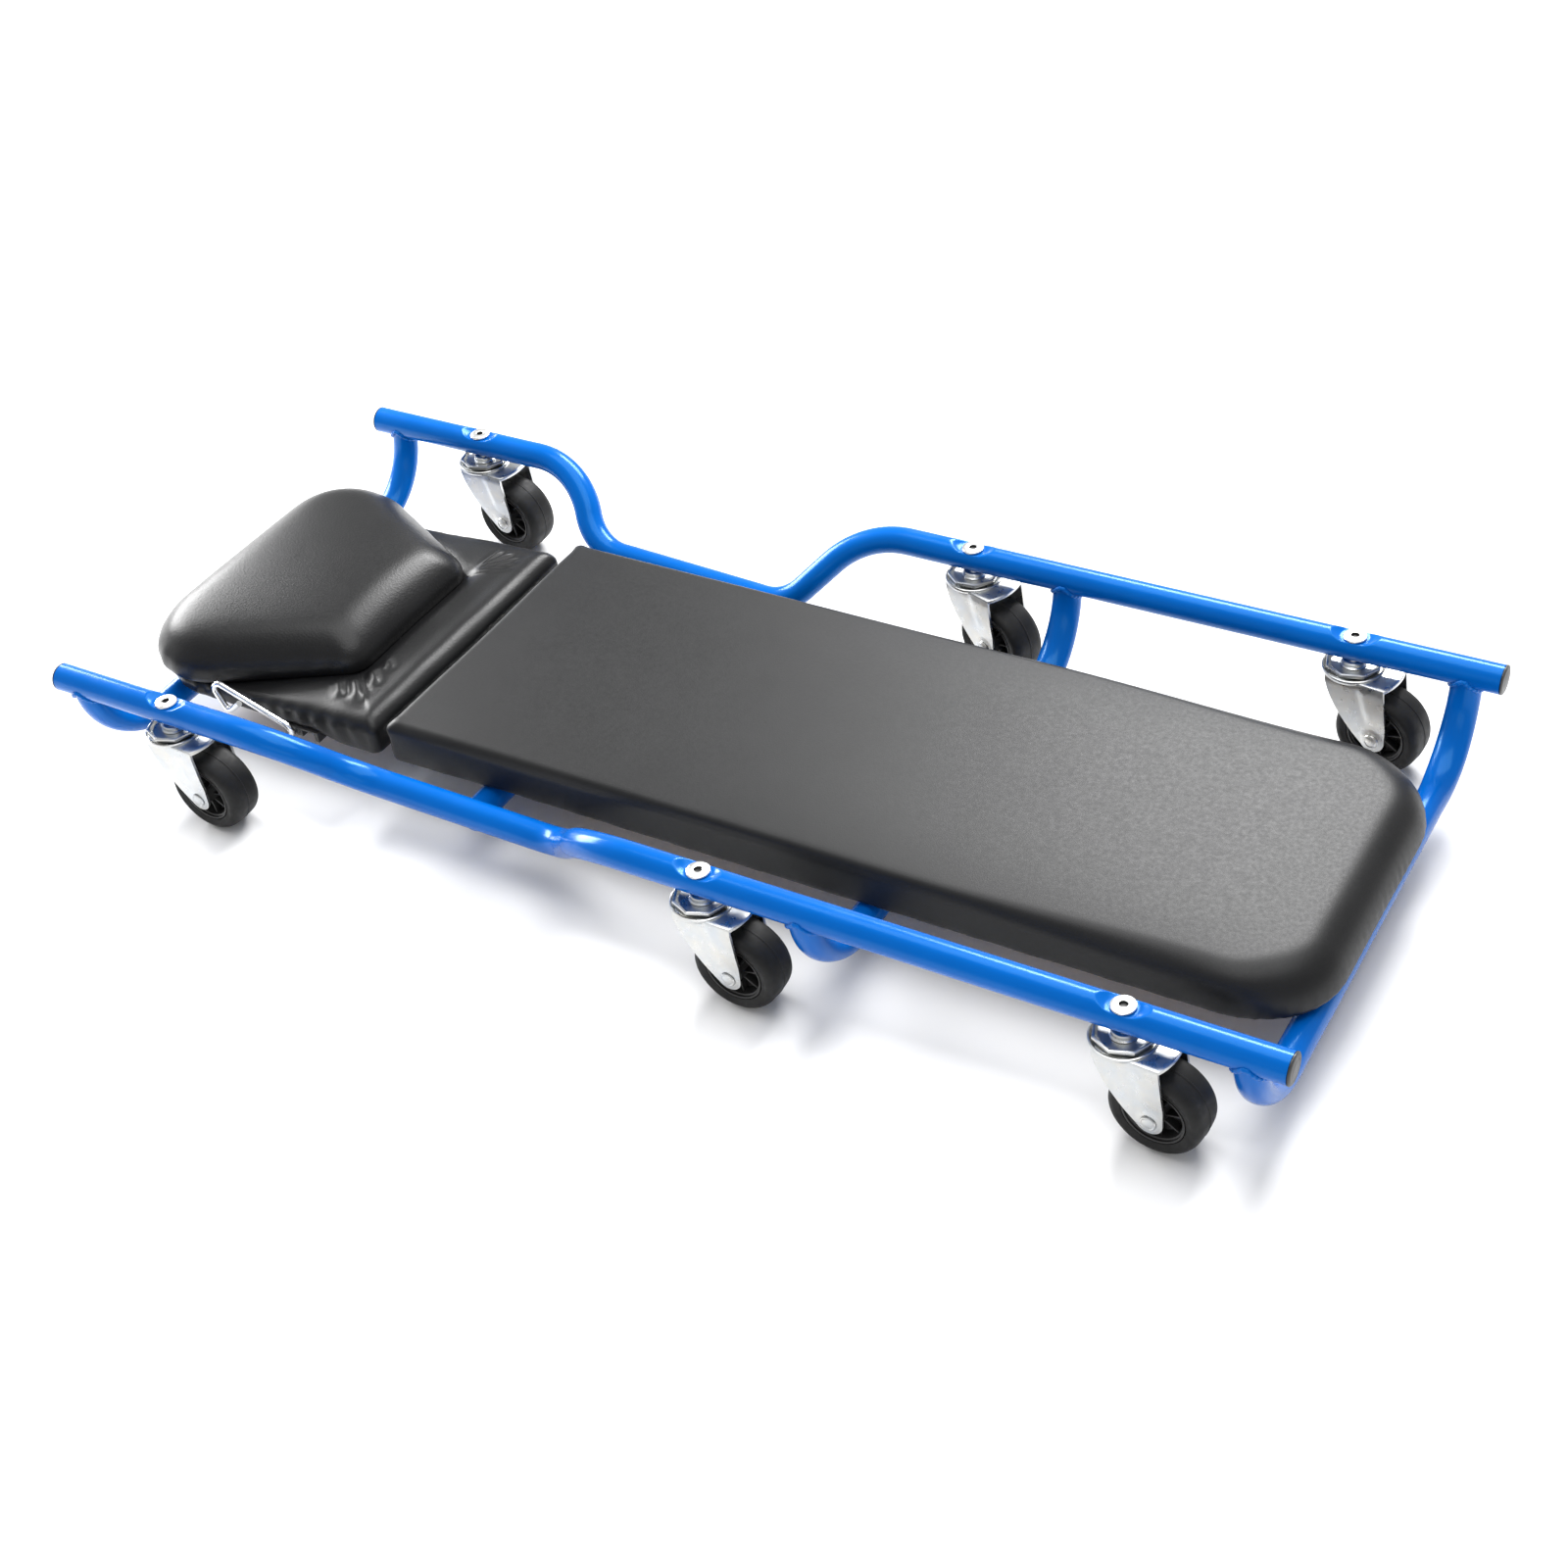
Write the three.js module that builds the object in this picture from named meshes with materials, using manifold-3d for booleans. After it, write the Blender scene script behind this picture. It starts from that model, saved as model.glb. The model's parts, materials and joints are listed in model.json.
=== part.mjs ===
// A low-profile mechanics creeper: a blue tube frame on six swivel casters, a long padded bed, and a
// hinged headrest that a wire prop holds up at one of several notches.
// Millimetres. +X runs from the head end to the foot end, +Z is up, and Z = 0 is the floor.
// "right" is the side with negative Y: the right hand of a person lying face up with the head at -X.
import * as THREE from 'three';
import { mergeVertices } from 'three/addons/utils/BufferGeometryUtils.js';
import Module from 'manifold-3d';

const wasm = await Module();
wasm.setup();

// ---- driving dimensions -------------------------------------------------------------------------
const GAP = 0.3;                 // clearance left between neighbours that touch on the real object

const FRAME_LENGTH = 1016;       // 40 inches, over the end caps
const TUBE_R = 11.1;             // 7/8 inch tube
const TUBE_WALL = 1.2;
const RAIL_Y = 206;              // rail centre line from the middle of the creeper
const WHEEL_R = 33.6;
const AXLE_DROP = 65.5;          // axle below the rail centre line
const RAIL_Z = WHEEL_R + AXLE_DROP;

// each rail dips down and in beside the shoulders, to leave room for the arms
const DIP_CORNER_X = [-289, -256, -66, -9];
const DIP_IN = [41, 44];
const DIP_DROP = [51, 57.5];
const DIP_BEND_R = [70, 50, 42, 80];

const CROSS_DROP = 68;           // cross tube centre line below the rail centre line
const HEAD_CROSS_X = -482;
const SHOULDER_CROSS_X = -157;
const HIP_CROSS_X = 168;
const FOOT_CROSS_X = 480;

const CASTER_X = { head: -394.4, middle: 87.1, foot: 396.8 };
const CASTER_TRAIL = 26.2;       // axle behind the swivel axis
// the casters trail towards the foot end, each turned a few degrees by the last push
const CASTER_YAW = {
  right: { head: -1.5, middle: -0.9, foot: -3.4 },
  left: { head: -5.1, middle: -17.8, foot: -6.7 },
};

const PAD_BOTTOM = RAIL_Z - CROSS_DROP + TUBE_R + GAP;
const BED_TOP = RAIL_Z - 21.5;
const BED_X = [-248, 491];
const BED_HALF = 134.5;
const BED_FOOT_R = 60;
const BOARD_THICK = 9;
const COVER_WRAP = 3;            // foam and vinyl folded round the edge of a board

const HEADREST_TOP = RAIL_Z - 30;        // at its foot end
const HEADREST_SEAT = RAIL_Z - 45.5;     // under the pillow
const HEADREST_X = [-505, -265];
const HEADREST_HALF = 130;
const HEADREST_HEAD_R = 55;
const PILLOW_X = [-515, -319];
const PILLOW_HALF = [171.8, 73]; // where the straight sides would meet the ends
const PILLOW_CORNER_R = [59, 24];
const PILLOW_TOP = RAIL_Z + 1;

const HINGE_X = (BED_X[0] + HEADREST_X[1]) / 2;
const HINGE_Z = PAD_BOTTOM + 2.2;
const HINGE_HALF = 110;
const KNUCKLE_R = 4.2;
const HINGE_PIN_R = 2;
const LEAF_THICK = 1.5;
const LEAF_REACH = 34;

const WIRE_R = 2.5;
const PROP_X = -346;             // the prop wire's turning axis, under the headrest
const PROP_Z = PAD_BOTTOM - WIRE_R - 0.8;
const PROP_LEG = 62;
const PROP_LEG_HALF = 34;

// ---- helpers ------------------------------------------------------------------------------------
function solid(geometry) {
  const plain = geometry.clone();
  plain.deleteAttribute('normal');
  plain.deleteAttribute('uv');
  const merged = mergeVertices(plain, 1e-4);
  const mesh = new wasm.Mesh({
    numProp: 3,
    vertProperties: new Float32Array(merged.attributes.position.array),
    triVerts: new Uint32Array(merged.index.array),
  });
  return new wasm.Manifold(mesh);
}

function geometryOf(manifold) {
  const mesh = manifold.getMesh();
  const geometry = new THREE.BufferGeometry();
  geometry.setAttribute('position', new THREE.Float32BufferAttribute(mesh.vertProperties, 3));
  geometry.setIndex(new THREE.Uint32BufferAttribute(mesh.triVerts, 1));
  geometry.computeVertexNormals();
  return geometry;
}

const join = (...pieces) => geometryOf(pieces.map(solid).reduce((a, b) => a.add(b)));
const cut = (body, ...tools) => geometryOf(tools.map(solid).reduce((a, b) => a.subtract(b), solid(body)));

function box(low, high) {
  const size = high.map((value, i) => value - low[i]);
  const geometry = new THREE.BoxGeometry(...size);
  return geometry.translate(...low.map((value, i) => value + size[i] / 2));
}

// a round bar along X, Y or Z between two places on that axis
function bar(axis, radius, from, to, centre, sides = 16) {
  const geometry = new THREE.CylinderGeometry(radius, radius, to - from, sides);
  if (axis === 'x') geometry.rotateZ(-Math.PI / 2);
  if (axis === 'z') geometry.rotateX(Math.PI / 2);
  const middle = (from + to) / 2;
  const place = { x: [middle, ...centre], y: [centre[0], middle, centre[1]], z: [...centre, middle] };
  return geometry.translate(...place[axis]);
}

// a turned part about the Y axis, from [radius, height] points on a closed outline or from axis to axis
function turned(points, sides) {
  const onAxis = points[0][0] === 0;
  const outline = points.map(([radius, height]) => new THREE.Vector2(radius, height));
  if (!onAxis) outline.push(outline[0].clone());
  return new THREE.LatheGeometry(outline, sides);
}

// a curve that passes straight between hand-placed stations, so long straights need no extra steps
class StationCurve extends THREE.Curve {
  constructor(stations) {
    super();
    this.stations = stations;
  }

  getPoint(t, target = new THREE.Vector3()) {
    const last = this.stations.length - 1;
    const place = Math.min(Math.max(t, 0), 1) * last;
    const index = Math.min(Math.floor(place), last - 1);
    return target.lerpVectors(this.stations[index], this.stations[index + 1], place - index);
  }

  getPointAt(u, target) {
    return this.getPoint(u, target);
  }

  getTangentAt(u, target = new THREE.Vector3()) {
    const last = this.stations.length - 1;
    const index = Math.round(u * last);
    const before = this.stations[Math.max(index - 1, 0)];
    const here = this.stations[index];
    const after = this.stations[Math.min(index + 1, last)];
    const into = here.clone().sub(before).normalize();
    const out = after.clone().sub(here).normalize();
    return target.copy(into).add(out).normalize();
  }
}

// stations along straight runs joined by round bends; corners are [x, y, z], radii one per inner corner
function bentStations(corners, radii, arcSteps) {
  const points = corners.map((corner) => new THREE.Vector3(...corner));
  const stations = [points[0]];
  for (let i = 1; i < points.length - 1; i += 1) {
    const back = points[i - 1].clone().sub(points[i]).normalize();
    const on = points[i + 1].clone().sub(points[i]).normalize();
    const inside = back.angleTo(on);
    const turn = Math.PI - inside;
    const setback = radii[i - 1] / Math.tan(inside / 2);
    const towardsCentre = back.clone().add(on).normalize();
    const centre = points[i].clone().addScaledVector(towardsCentre, radii[i - 1] / Math.sin(inside / 2));
    const start = points[i].clone().addScaledVector(back, setback).sub(centre);
    const end = points[i].clone().addScaledVector(on, setback).sub(centre);
    for (let step = 0; step <= arcSteps; step += 1) {
      const part = step / arcSteps;
      const spoke = start.clone().multiplyScalar(Math.sin((1 - part) * turn) / Math.sin(turn));
      spoke.addScaledVector(end, Math.sin(part * turn) / Math.sin(turn));
      stations.push(centre.clone().add(spoke));
    }
  }
  stations.push(points[points.length - 1]);
  return stations;
}

function ring(shape, radius, sides) {
  const points = [];
  for (let i = 0; i < sides; i += 1) {
    const angle = (i / sides) * 2 * Math.PI;
    points.push(new THREE.Vector2(radius * Math.cos(angle), radius * Math.sin(angle)));
  }
  return shape.setFromPoints(points);
}

function sweep(stations, radius, sides, boreRadius = 0, boreSides = 8) {
  const section = ring(new THREE.Shape(), radius, sides);
  if (boreRadius > 0) section.holes.push(ring(new THREE.Path(), boreRadius, boreSides));
  const path = new StationCurve(stations);
  return new THREE.ExtrudeGeometry(section, { extrudePath: path, steps: stations.length - 1 });
}

const frameTube = (stations) => sweep(stations, TUBE_R, 12, TUBE_R - TUBE_WALL);

// an outline with rounded corners; corners are [x, y], radii one per corner
function roundedOutline(corners, radii, arcSteps = 5) {
  const points = [];
  corners.forEach((corner, i) => {
    const here = new THREE.Vector2(...corner);
    if (radii[i] === 0) {
      points.push(here);
      return;
    }
    const before = corners[(i + corners.length - 1) % corners.length];
    const after = corners[(i + 1) % corners.length];
    const back = new THREE.Vector2(...before).sub(here).normalize();
    const on = new THREE.Vector2(...after).sub(here).normalize();
    const inside = Math.acos(back.dot(on));
    const middle = back.clone().add(on).normalize();
    const centre = here.clone().addScaledVector(middle, radii[i] / Math.sin(inside / 2));
    const start = here.clone().addScaledVector(back, radii[i] / Math.tan(inside / 2)).sub(centre);
    const end = here.clone().addScaledVector(on, radii[i] / Math.tan(inside / 2)).sub(centre);
    const turn = Math.PI - inside;
    for (let step = 0; step <= arcSteps; step += 1) {
      const part = step / arcSteps;
      const spoke = start.clone().multiplyScalar(Math.sin((1 - part) * turn) / Math.sin(turn));
      spoke.addScaledVector(end, Math.sin(part * turn) / Math.sin(turn));
      points.push(centre.clone().add(spoke));
    }
  });
  return new THREE.Shape(points);
}

function slab(outline, bottom, top, curveSegments = 12) {
  const options = { depth: top - bottom, bevelEnabled: false, curveSegments };
  const geometry = new THREE.ExtrudeGeometry(outline, options);
  return geometry.translate(0, 0, bottom);
}

// a plate whose outline is drawn in X and Z and whose thickness runs along Y
function uprightPlate(points, lowY, highY) {
  const outline = new THREE.Shape(points.map(([x, z]) => new THREE.Vector2(x, z)));
  const geometry = new THREE.ExtrudeGeometry(outline, { depth: highY - lowY, bevelEnabled: false });
  return geometry.rotateX(Math.PI / 2).translate(0, highY, 0);
}

// ---- materials ----------------------------------------------------------------------------------
const paint = () => new THREE.MeshStandardMaterial({ color: 0x0069d2, roughness: 0.25, metalness: 0.1 });
const zinc = () => new THREE.MeshStandardMaterial({ color: 0xc9ccc9, roughness: 0.28, metalness: 1 });
const black = () => new THREE.MeshStandardMaterial({ color: 0x1b1b1c, roughness: 0.5, metalness: 0 });
const rubber = () => new THREE.MeshStandardMaterial({ color: 0x2b2b2c, roughness: 0.8, metalness: 0 });
const vinyl = () => new THREE.MeshStandardMaterial({ color: 0x232426, roughness: 0.45, metalness: 0 });
const plywood = () => new THREE.MeshStandardMaterial({ color: 0xb08d5b, roughness: 0.8, metalness: 0 });

const creeper = new THREE.Group();

function addTo(group, name, geometry, material) {
  const mesh = new THREE.Mesh(geometry, material);
  mesh.name = name;
  group.add(mesh);
  return mesh;
}

// ---- frame --------------------------------------------------------------------------------------
const CAP_FACE = 2.2;            // how far an end cap stands out of its rail
const RAIL_END = FRAME_LENGTH / 2 - CAP_FACE - GAP;
const BOLT_R = 3.9;
const BOLT_HEAD_R = 8.6;
const DIMPLE_FLOOR = 7.2;        // the flat pressed into the rail under a bolt head, above its centre
const DIMPLE_THICK = 1.6;

function railCorners(sign) {
  const corners = [[-RAIL_END, sign * RAIL_Y, RAIL_Z]];
  DIP_CORNER_X.forEach((x, i) => {
    const low = i === 1 || i === 2;
    const y = low ? RAIL_Y - DIP_IN[i - 1] : RAIL_Y;
    const z = low ? RAIL_Z - DIP_DROP[i - 1] : RAIL_Z;
    corners.push([x, sign * y, z]);
  });
  corners.push([RAIL_END, sign * RAIL_Y, RAIL_Z]);
  return corners;
}

// the tube is pressed flat and drilled where each caster bolt goes through
function sideRail(sign) {
  let rail = solid(frameTube(bentStations(railCorners(sign), DIP_BEND_R, 3)));
  const y = sign * RAIL_Y;
  Object.values(CASTER_X).forEach((x) => {
    const floor = RAIL_Z + DIMPLE_FLOOR;
    const dimple = bar('z', BOLT_HEAD_R + 0.8, floor, floor + 8, [x, y], 12);
    const plate = bar('z', BOLT_HEAD_R + 0.4, floor - DIMPLE_THICK, floor, [x, y], 12);
    const hole = bar('z', BOLT_R + GAP, RAIL_Z - 20, RAIL_Z + 20, [x, y], 10);
    rail = rail.add(solid(plate)).subtract(solid(dimple)).subtract(solid(hole));
  });
  return geometryOf(rail);
}

function railClearance(sign) {
  return bar('x', TUBE_R + GAP, -FRAME_LENGTH, FRAME_LENGTH, [sign * RAIL_Y, RAIL_Z], 16);
}

// a tube bent to a shallow U, its ends coped to the underside of the rails
function hangingCrossTube(x) {
  const corners = [
    [x, -RAIL_Y, RAIL_Z], [x, -RAIL_Y, RAIL_Z - CROSS_DROP],
    [x, RAIL_Y, RAIL_Z - CROSS_DROP], [x, RAIL_Y, RAIL_Z],
  ];
  const radii = [CROSS_DROP - 0.5, CROSS_DROP - 0.5];
  return cut(frameTube(bentStations(corners, radii, 5)), railClearance(-1), railClearance(1));
}

// a straight tube between the low parts of the two rails, coped to them
function shoulderCrossTube() {
  const part = (SHOULDER_CROSS_X - DIP_CORNER_X[1]) / (DIP_CORNER_X[2] - DIP_CORNER_X[1]);
  const y = RAIL_Y - DIP_IN[0] - part * (DIP_IN[1] - DIP_IN[0]);
  const half = y - 9;
  const stations = [-half, half].map((end) => new THREE.Vector3(SHOULDER_CROSS_X, end, RAIL_Z - CROSS_DROP));
  const clearances = [-1, 1].map((sign) => {
    const run = railCorners(sign).slice(2, 4).map((corner) => new THREE.Vector3(...corner));
    return sweep(run, TUBE_R + GAP, 24);
  });
  return cut(frameTube(stations), ...clearances);
}

// a domed plastic plug with a stem that grips inside the tube
function endCap() {
  const stemR = TUBE_R - TUBE_WALL - 0.9;
  return turned([
    [0, -14], [stemR - 1, -14], [stemR, -12], [stemR, 0],
    [TUBE_R, 0], [TUBE_R, 0.9], [8, CAP_FACE], [0, CAP_FACE],
  ], 12);
}

['right', 'left'].forEach((side) => {
  const sign = side === 'right' ? -1 : 1;
  addTo(creeper, `side_rail_${side}`, sideRail(sign), paint());
  [['head', -1], ['foot', 1]].forEach(([end, direction]) => {
    const cap = addTo(creeper, `end_cap_${end}_${side}`, endCap(), black());
    cap.rotation.z = -direction * Math.PI / 2;
    cap.position.set(direction * (FRAME_LENGTH / 2 - CAP_FACE), sign * RAIL_Y, RAIL_Z);
  });
});
addTo(creeper, 'cross_tube_head', hangingCrossTube(HEAD_CROSS_X), paint());
addTo(creeper, 'cross_tube_shoulder', shoulderCrossTube(), paint());
addTo(creeper, 'cross_tube_hip', hangingCrossTube(HIP_CROSS_X), paint());
addTo(creeper, 'cross_tube_foot', hangingCrossTube(FOOT_CROSS_X), paint());

// ---- casters ------------------------------------------------------------------------------------
// each is drawn about its own origin, where the bolt crosses the rail centre line, trailing along +X
const CROWN_TOP = -17.9;
const CROWN_THICK = 2;
const CROWN_FRONT_R = 42;
const FORK_HALF = 19.3;
const LEG_THICK = 2;
const FORK_FRONT = 32.7;
const FORK_BACK = -13.6;
const LEG_BACK = [[FORK_BACK, -23.3], [-8.6, -36.7], [0, -50.6], [9.6, -62.5]];
const LEG_KNEE = [FORK_FRONT + 3.5, -52];
const LEG_END_R = 9.6;
const RACE_R = 21.2;
const CUP_BOTTOM = -17.2;
const NUT_R = 7;
const AXLE_R = 3;
const RIVET_R = 5.4;
const WHEEL_HALF = 15;
const RIM_R = 22.4;
const RIM_HALF = 13.7;
const BOSS_HALF = 16.6;

function bolt() {
  const nutTop = CROWN_TOP - CROWN_THICK - 1.4;
  return turned([
    [0, nutTop - 6.5], [4, nutTop - 6.5], [4, nutTop - 5], [NUT_R, nutTop - 5], [NUT_R, nutTop],
    [BOLT_R, nutTop],
    [BOLT_R, DIMPLE_FLOOR + GAP], [BOLT_HEAD_R, DIMPLE_FLOOR + GAP], [BOLT_HEAD_R - 0.6, 8.8], [5, 9.7],
    [2.9, 9.8], [2.5, 7.9], [0, 7.7],
  ], 10).rotateX(Math.PI / 2);
}

// the fixed half of the swivel: a dished race under the rail, clamped by the bolt
function swivelCup() {
  const bore = BOLT_R + GAP;
  return turned([
    [bore, CUP_BOTTOM], [17, CUP_BOTTOM], [19.8, -16.4], [20.2, -13.6],
    [18, -13.2], [16.2, -15.9], [9.4, -15.9],
    [8.6, -TUBE_R - GAP], [bore, -TUBE_R - GAP],
  ], 12).rotateX(Math.PI / 2);
}

// the turning half: a crown plate with a raised race ring, and two tapering legs
function fork() {
  const crownBottom = CROWN_TOP - CROWN_THICK;
  const race = bar('z', RACE_R, crownBottom - 1, CROWN_TOP + 0.4, [0, 0], 14);
  const frontAngle = Math.asin(FORK_HALF / CROWN_FRONT_R);
  const backEdge = [FORK_HALF, -FORK_HALF].map((y) => new THREE.Vector2(FORK_BACK + 1.6, y));
  const outline = new THREE.Shape(backEdge);
  const frontCentre = FORK_FRONT - CROWN_FRONT_R * Math.cos(frontAngle);
  outline.absarc(frontCentre, 0, CROWN_FRONT_R, -frontAngle, frontAngle);
  const crown = slab(outline, crownBottom, CROWN_TOP, 6);
  const profile = [[FORK_BACK, CROWN_TOP], ...LEG_BACK];
  for (let step = 0; step <= 4; step += 1) {
    const angle = (-145 + step * 36) * Math.PI / 180;
    profile.push([CASTER_TRAIL + LEG_END_R * Math.cos(angle), -AXLE_DROP + LEG_END_R * Math.sin(angle)]);
  }
  profile.push(LEG_KNEE, [FORK_FRONT, CROWN_TOP]);
  const legs = [-FORK_HALF, FORK_HALF - LEG_THICK].map((y) => uprightPlate(profile, y, y + LEG_THICK));
  const stem = bar('z', BOLT_R + GAP, crownBottom - 5, 0, [0, 0], 10);
  const axleHole = bar('y', AXLE_R + GAP, -40, 40, [CASTER_TRAIL, -AXLE_DROP], 10);
  return cut(join(race, crown, ...legs), stem, axleHole);
}

function axle() {
  const end = FORK_HALF + GAP;
  return turned([
    [0, -end - 1.8], [4.2, -end - 1.5], [RIVET_R, -end - 0.7], [RIVET_R, -end], [AXLE_R, -end],
    [AXLE_R, end], [RIVET_R, end], [RIVET_R, end + 0.7], [4.2, end + 1.5], [0, end + 1.8],
  ], 10);
}

// moulded hub: a bored boss, a middle web and a rim
function hub() {
  const bore = AXLE_R + 0.2;
  return turned([
    [bore, -BOSS_HALF], [7, -BOSS_HALF], [8, -4], [RIM_R - 3, -3], [RIM_R - 2, -RIM_HALF], [RIM_R, -RIM_HALF],
    [RIM_R, RIM_HALF], [RIM_R - 2, RIM_HALF], [RIM_R - 3, 3], [8, 4], [7, BOSS_HALF], [bore, BOSS_HALF],
  ], 12);
}

function tyre() {
  const half = [
    [RIM_R + GAP, WHEEL_HALF - 1], [WHEEL_R - 5.5, WHEEL_HALF], [WHEEL_R - 2.2, WHEEL_HALF - 0.9],
    [WHEEL_R - 0.6, WHEEL_HALF - 3], [WHEEL_R, WHEEL_HALF - 8],
  ];
  const mirrored = half.map(([radius, y]) => [radius, -y]);
  return turned([...mirrored, ...half.reverse()], 24);
}

['right', 'left'].forEach((side) => {
  const sign = side === 'right' ? -1 : 1;
  Object.entries(CASTER_X).forEach(([place, x]) => {
    const caster = new THREE.Group();
    caster.position.set(x, sign * RAIL_Y, RAIL_Z);
    caster.rotation.z = CASTER_YAW[side][place] * Math.PI / 180;
    creeper.add(caster);
    const tag = `${place}_${side}`;
    addTo(caster, `caster_bolt_${tag}`, bolt(), zinc());
    addTo(caster, `swivel_cup_${tag}`, swivelCup(), zinc());
    addTo(caster, `fork_${tag}`, fork(), zinc());
    [['axle', axle(), zinc()], ['hub', hub(), black()], ['tyre', tyre(), rubber()]].forEach(([kind, shape, look]) => {
      const piece = addTo(caster, `${kind}_${tag}`, shape, look);
      piece.position.set(CASTER_TRAIL, 0, -AXLE_DROP);
    });
  });
});

// ---- pads ---------------------------------------------------------------------------------------
function bedOutline(inset) {
  const head = BED_X[0] + inset;
  const foot = BED_X[1] - inset;
  const half = BED_HALF - inset;
  const corners = [[head, -half], [foot, -half], [foot, half], [head, half]];
  return roundedOutline(corners, [0, BED_FOOT_R - inset, BED_FOOT_R - inset, 0]);
}

function headrestOutline(inset) {
  const head = HEADREST_X[0] + inset;
  const foot = HEADREST_X[1] - inset;
  const half = HEADREST_HALF - inset;
  const corners = [[head, -half], [foot, -half], [foot, half], [head, half]];
  return roundedOutline(corners, [HEADREST_HEAD_R - inset, 0, 0, HEADREST_HEAD_R - inset]);
}

const board = (outlineOf) => slab(outlineOf(COVER_WRAP), PAD_BOTTOM, PAD_BOTTOM + BOARD_THICK);

// foam and vinyl over a board, with its sides folded down round the edge of the board
function cover(outlineOf, top, ...pieces) {
  const block = slab(outlineOf(0), PAD_BOTTOM, top);
  const room = slab(outlineOf(COVER_WRAP - GAP), PAD_BOTTOM - 5, PAD_BOTTOM + BOARD_THICK + GAP);
  return cut(block, room, ...pieces);
}

// the foam of the headrest is pressed thin under the pillow and thickens towards the hinge
function headrestCushion() {
  const [head, foot] = HEADREST_X;
  const above = [
    [head - 5, HEADREST_SEAT], [PILLOW_X[1] + 4, HEADREST_SEAT], [foot - 24, HEADREST_TOP - 1],
    [foot, HEADREST_TOP], [foot, HEADREST_TOP + 5], [head - 5, HEADREST_TOP + 5],
  ];
  return cover(headrestOutline, HEADREST_TOP, uprightPlate(above, -HEADREST_HALF - 5, HEADREST_HALF + 5));
}

// widest near its underside, with sides that curve in towards a low dome
function pillow() {
  const round = 22;
  const [head, foot] = PILLOW_X;
  const [wide, narrow] = PILLOW_HALF;
  const lean = (wide - narrow) / (foot - head);
  const corners = [
    [head + round, -wide + round * 1.5], [foot - round, -narrow + round * (1 - lean)],
    [foot - round, narrow - round * (1 - lean)], [head + round, wide - round * 1.5],
  ];
  const [headR, footR] = PILLOW_CORNER_R;
  const outline = roundedOutline(corners, [headR - round, footR - round, footR - round, headR - round], 4);
  const bottom = HEADREST_SEAT + GAP;
  const widest = bottom + 12;
  const bevel = PILLOW_TOP - widest;
  const options = { depth: 0.01, bevelThickness: bevel, bevelSize: round, bevelSegments: 4 };
  const lens = new THREE.ExtrudeGeometry(outline, options).translate(0, 0, widest);
  return cut(lens, box([-600, -300, bottom - 100], [0, 300, bottom]));
}

addTo(creeper, 'bed_board', board(bedOutline), plywood());
addTo(creeper, 'bed_cushion', cover(bedOutline, BED_TOP), vinyl());
addTo(creeper, 'headrest_board', board(headrestOutline), plywood());
addTo(creeper, 'headrest_cushion', headrestCushion(), vinyl());
addTo(creeper, 'head_pillow', pillow(), vinyl());

// ---- headrest hinge -----------------------------------------------------------------------------
const KNUCKLES = 5;              // shared out in turn: the bed leaf has the odd ones
const KNUCKLE_SPACE = 0.6;

function hingeLeaf(direction, firstKnuckle) {
  const pitch = 2 * HINGE_HALF / KNUCKLES;
  const low = PAD_BOTTOM - GAP - LEAF_THICK;
  const high = PAD_BOTTOM - GAP;
  const near = HINGE_X + direction * (KNUCKLE_R + 0.6);
  const far = HINGE_X + direction * LEAF_REACH;
  const pieces = [box([Math.min(near, far), -HINGE_HALF, low], [Math.max(near, far), HINGE_HALF, high])];
  for (let i = firstKnuckle; i < KNUCKLES; i += 2) {
    const from = -HINGE_HALF + i * pitch + KNUCKLE_SPACE / 2;
    const to = from + pitch - KNUCKLE_SPACE;
    pieces.push(bar('y', KNUCKLE_R, from, to, [HINGE_X, HINGE_Z], 12));
    const inner = [HINGE_X, near + direction].sort((a, b) => a - b);
    pieces.push(box([inner[0], from, low], [inner[1], to, high]));
  }
  const bore = bar('y', HINGE_PIN_R + 0.25, -HINGE_HALF - 5, HINGE_HALF + 5, [HINGE_X, HINGE_Z], 12);
  return cut(join(...pieces), bore);
}

addTo(creeper, 'hinge_leaf_bed', hingeLeaf(1, 0), zinc());
addTo(creeper, 'hinge_leaf_headrest', hingeLeaf(-1, 1), zinc());
const pinEnd = HINGE_HALF + 2;
addTo(creeper, 'hinge_pin', bar('y', HINGE_PIN_R, -pinEnd, pinEnd, [HINGE_X, HINGE_Z], 12), zinc());

// ---- headrest prop ------------------------------------------------------------------------------
// one wire makes the hand loop beside the headrest, the turning axis under it and the U-shaped leg
const LOOP_Y = -140;
const RACK_HALF = 12;
const RACK_TOP = PROP_Z - WIRE_R - 1.6;
const RACK_DEPTH = 6;
const TOOTH_PITCH = 10;

function propWire() {
  const handleAt = (x, drop) => [x, LOOP_Y, RAIL_Z - drop];
  const legTip = PROP_X - PROP_LEG;
  const corners = [
    handleAt(-393, 40.5), handleAt(-408, 53), handleAt(-422, 21), handleAt(-341, 50),
    [PROP_X, LOOP_Y + 2, PROP_Z], [PROP_X, -PROP_LEG_HALF, PROP_Z], [legTip, -PROP_LEG_HALF, PROP_Z],
    [legTip, PROP_LEG_HALF, PROP_Z], [PROP_X, PROP_LEG_HALF, PROP_Z], [PROP_X, 100, PROP_Z],
  ];
  return sweep(bentStations(corners, [4, 7, 6, 5, 6, 6, 6, 6], 3), WIRE_R, 7);
}

const CLIP_Y = { right: -125, left: 80 };
const CLIP_HALF = 6;
const CLIP_THICK = 1.5;
const CLIP_ENDS = [PROP_X - 14, PROP_X + 21];
const CLIP_LIP = [4, 9];         // thickness and depth of the turned-down end

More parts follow.
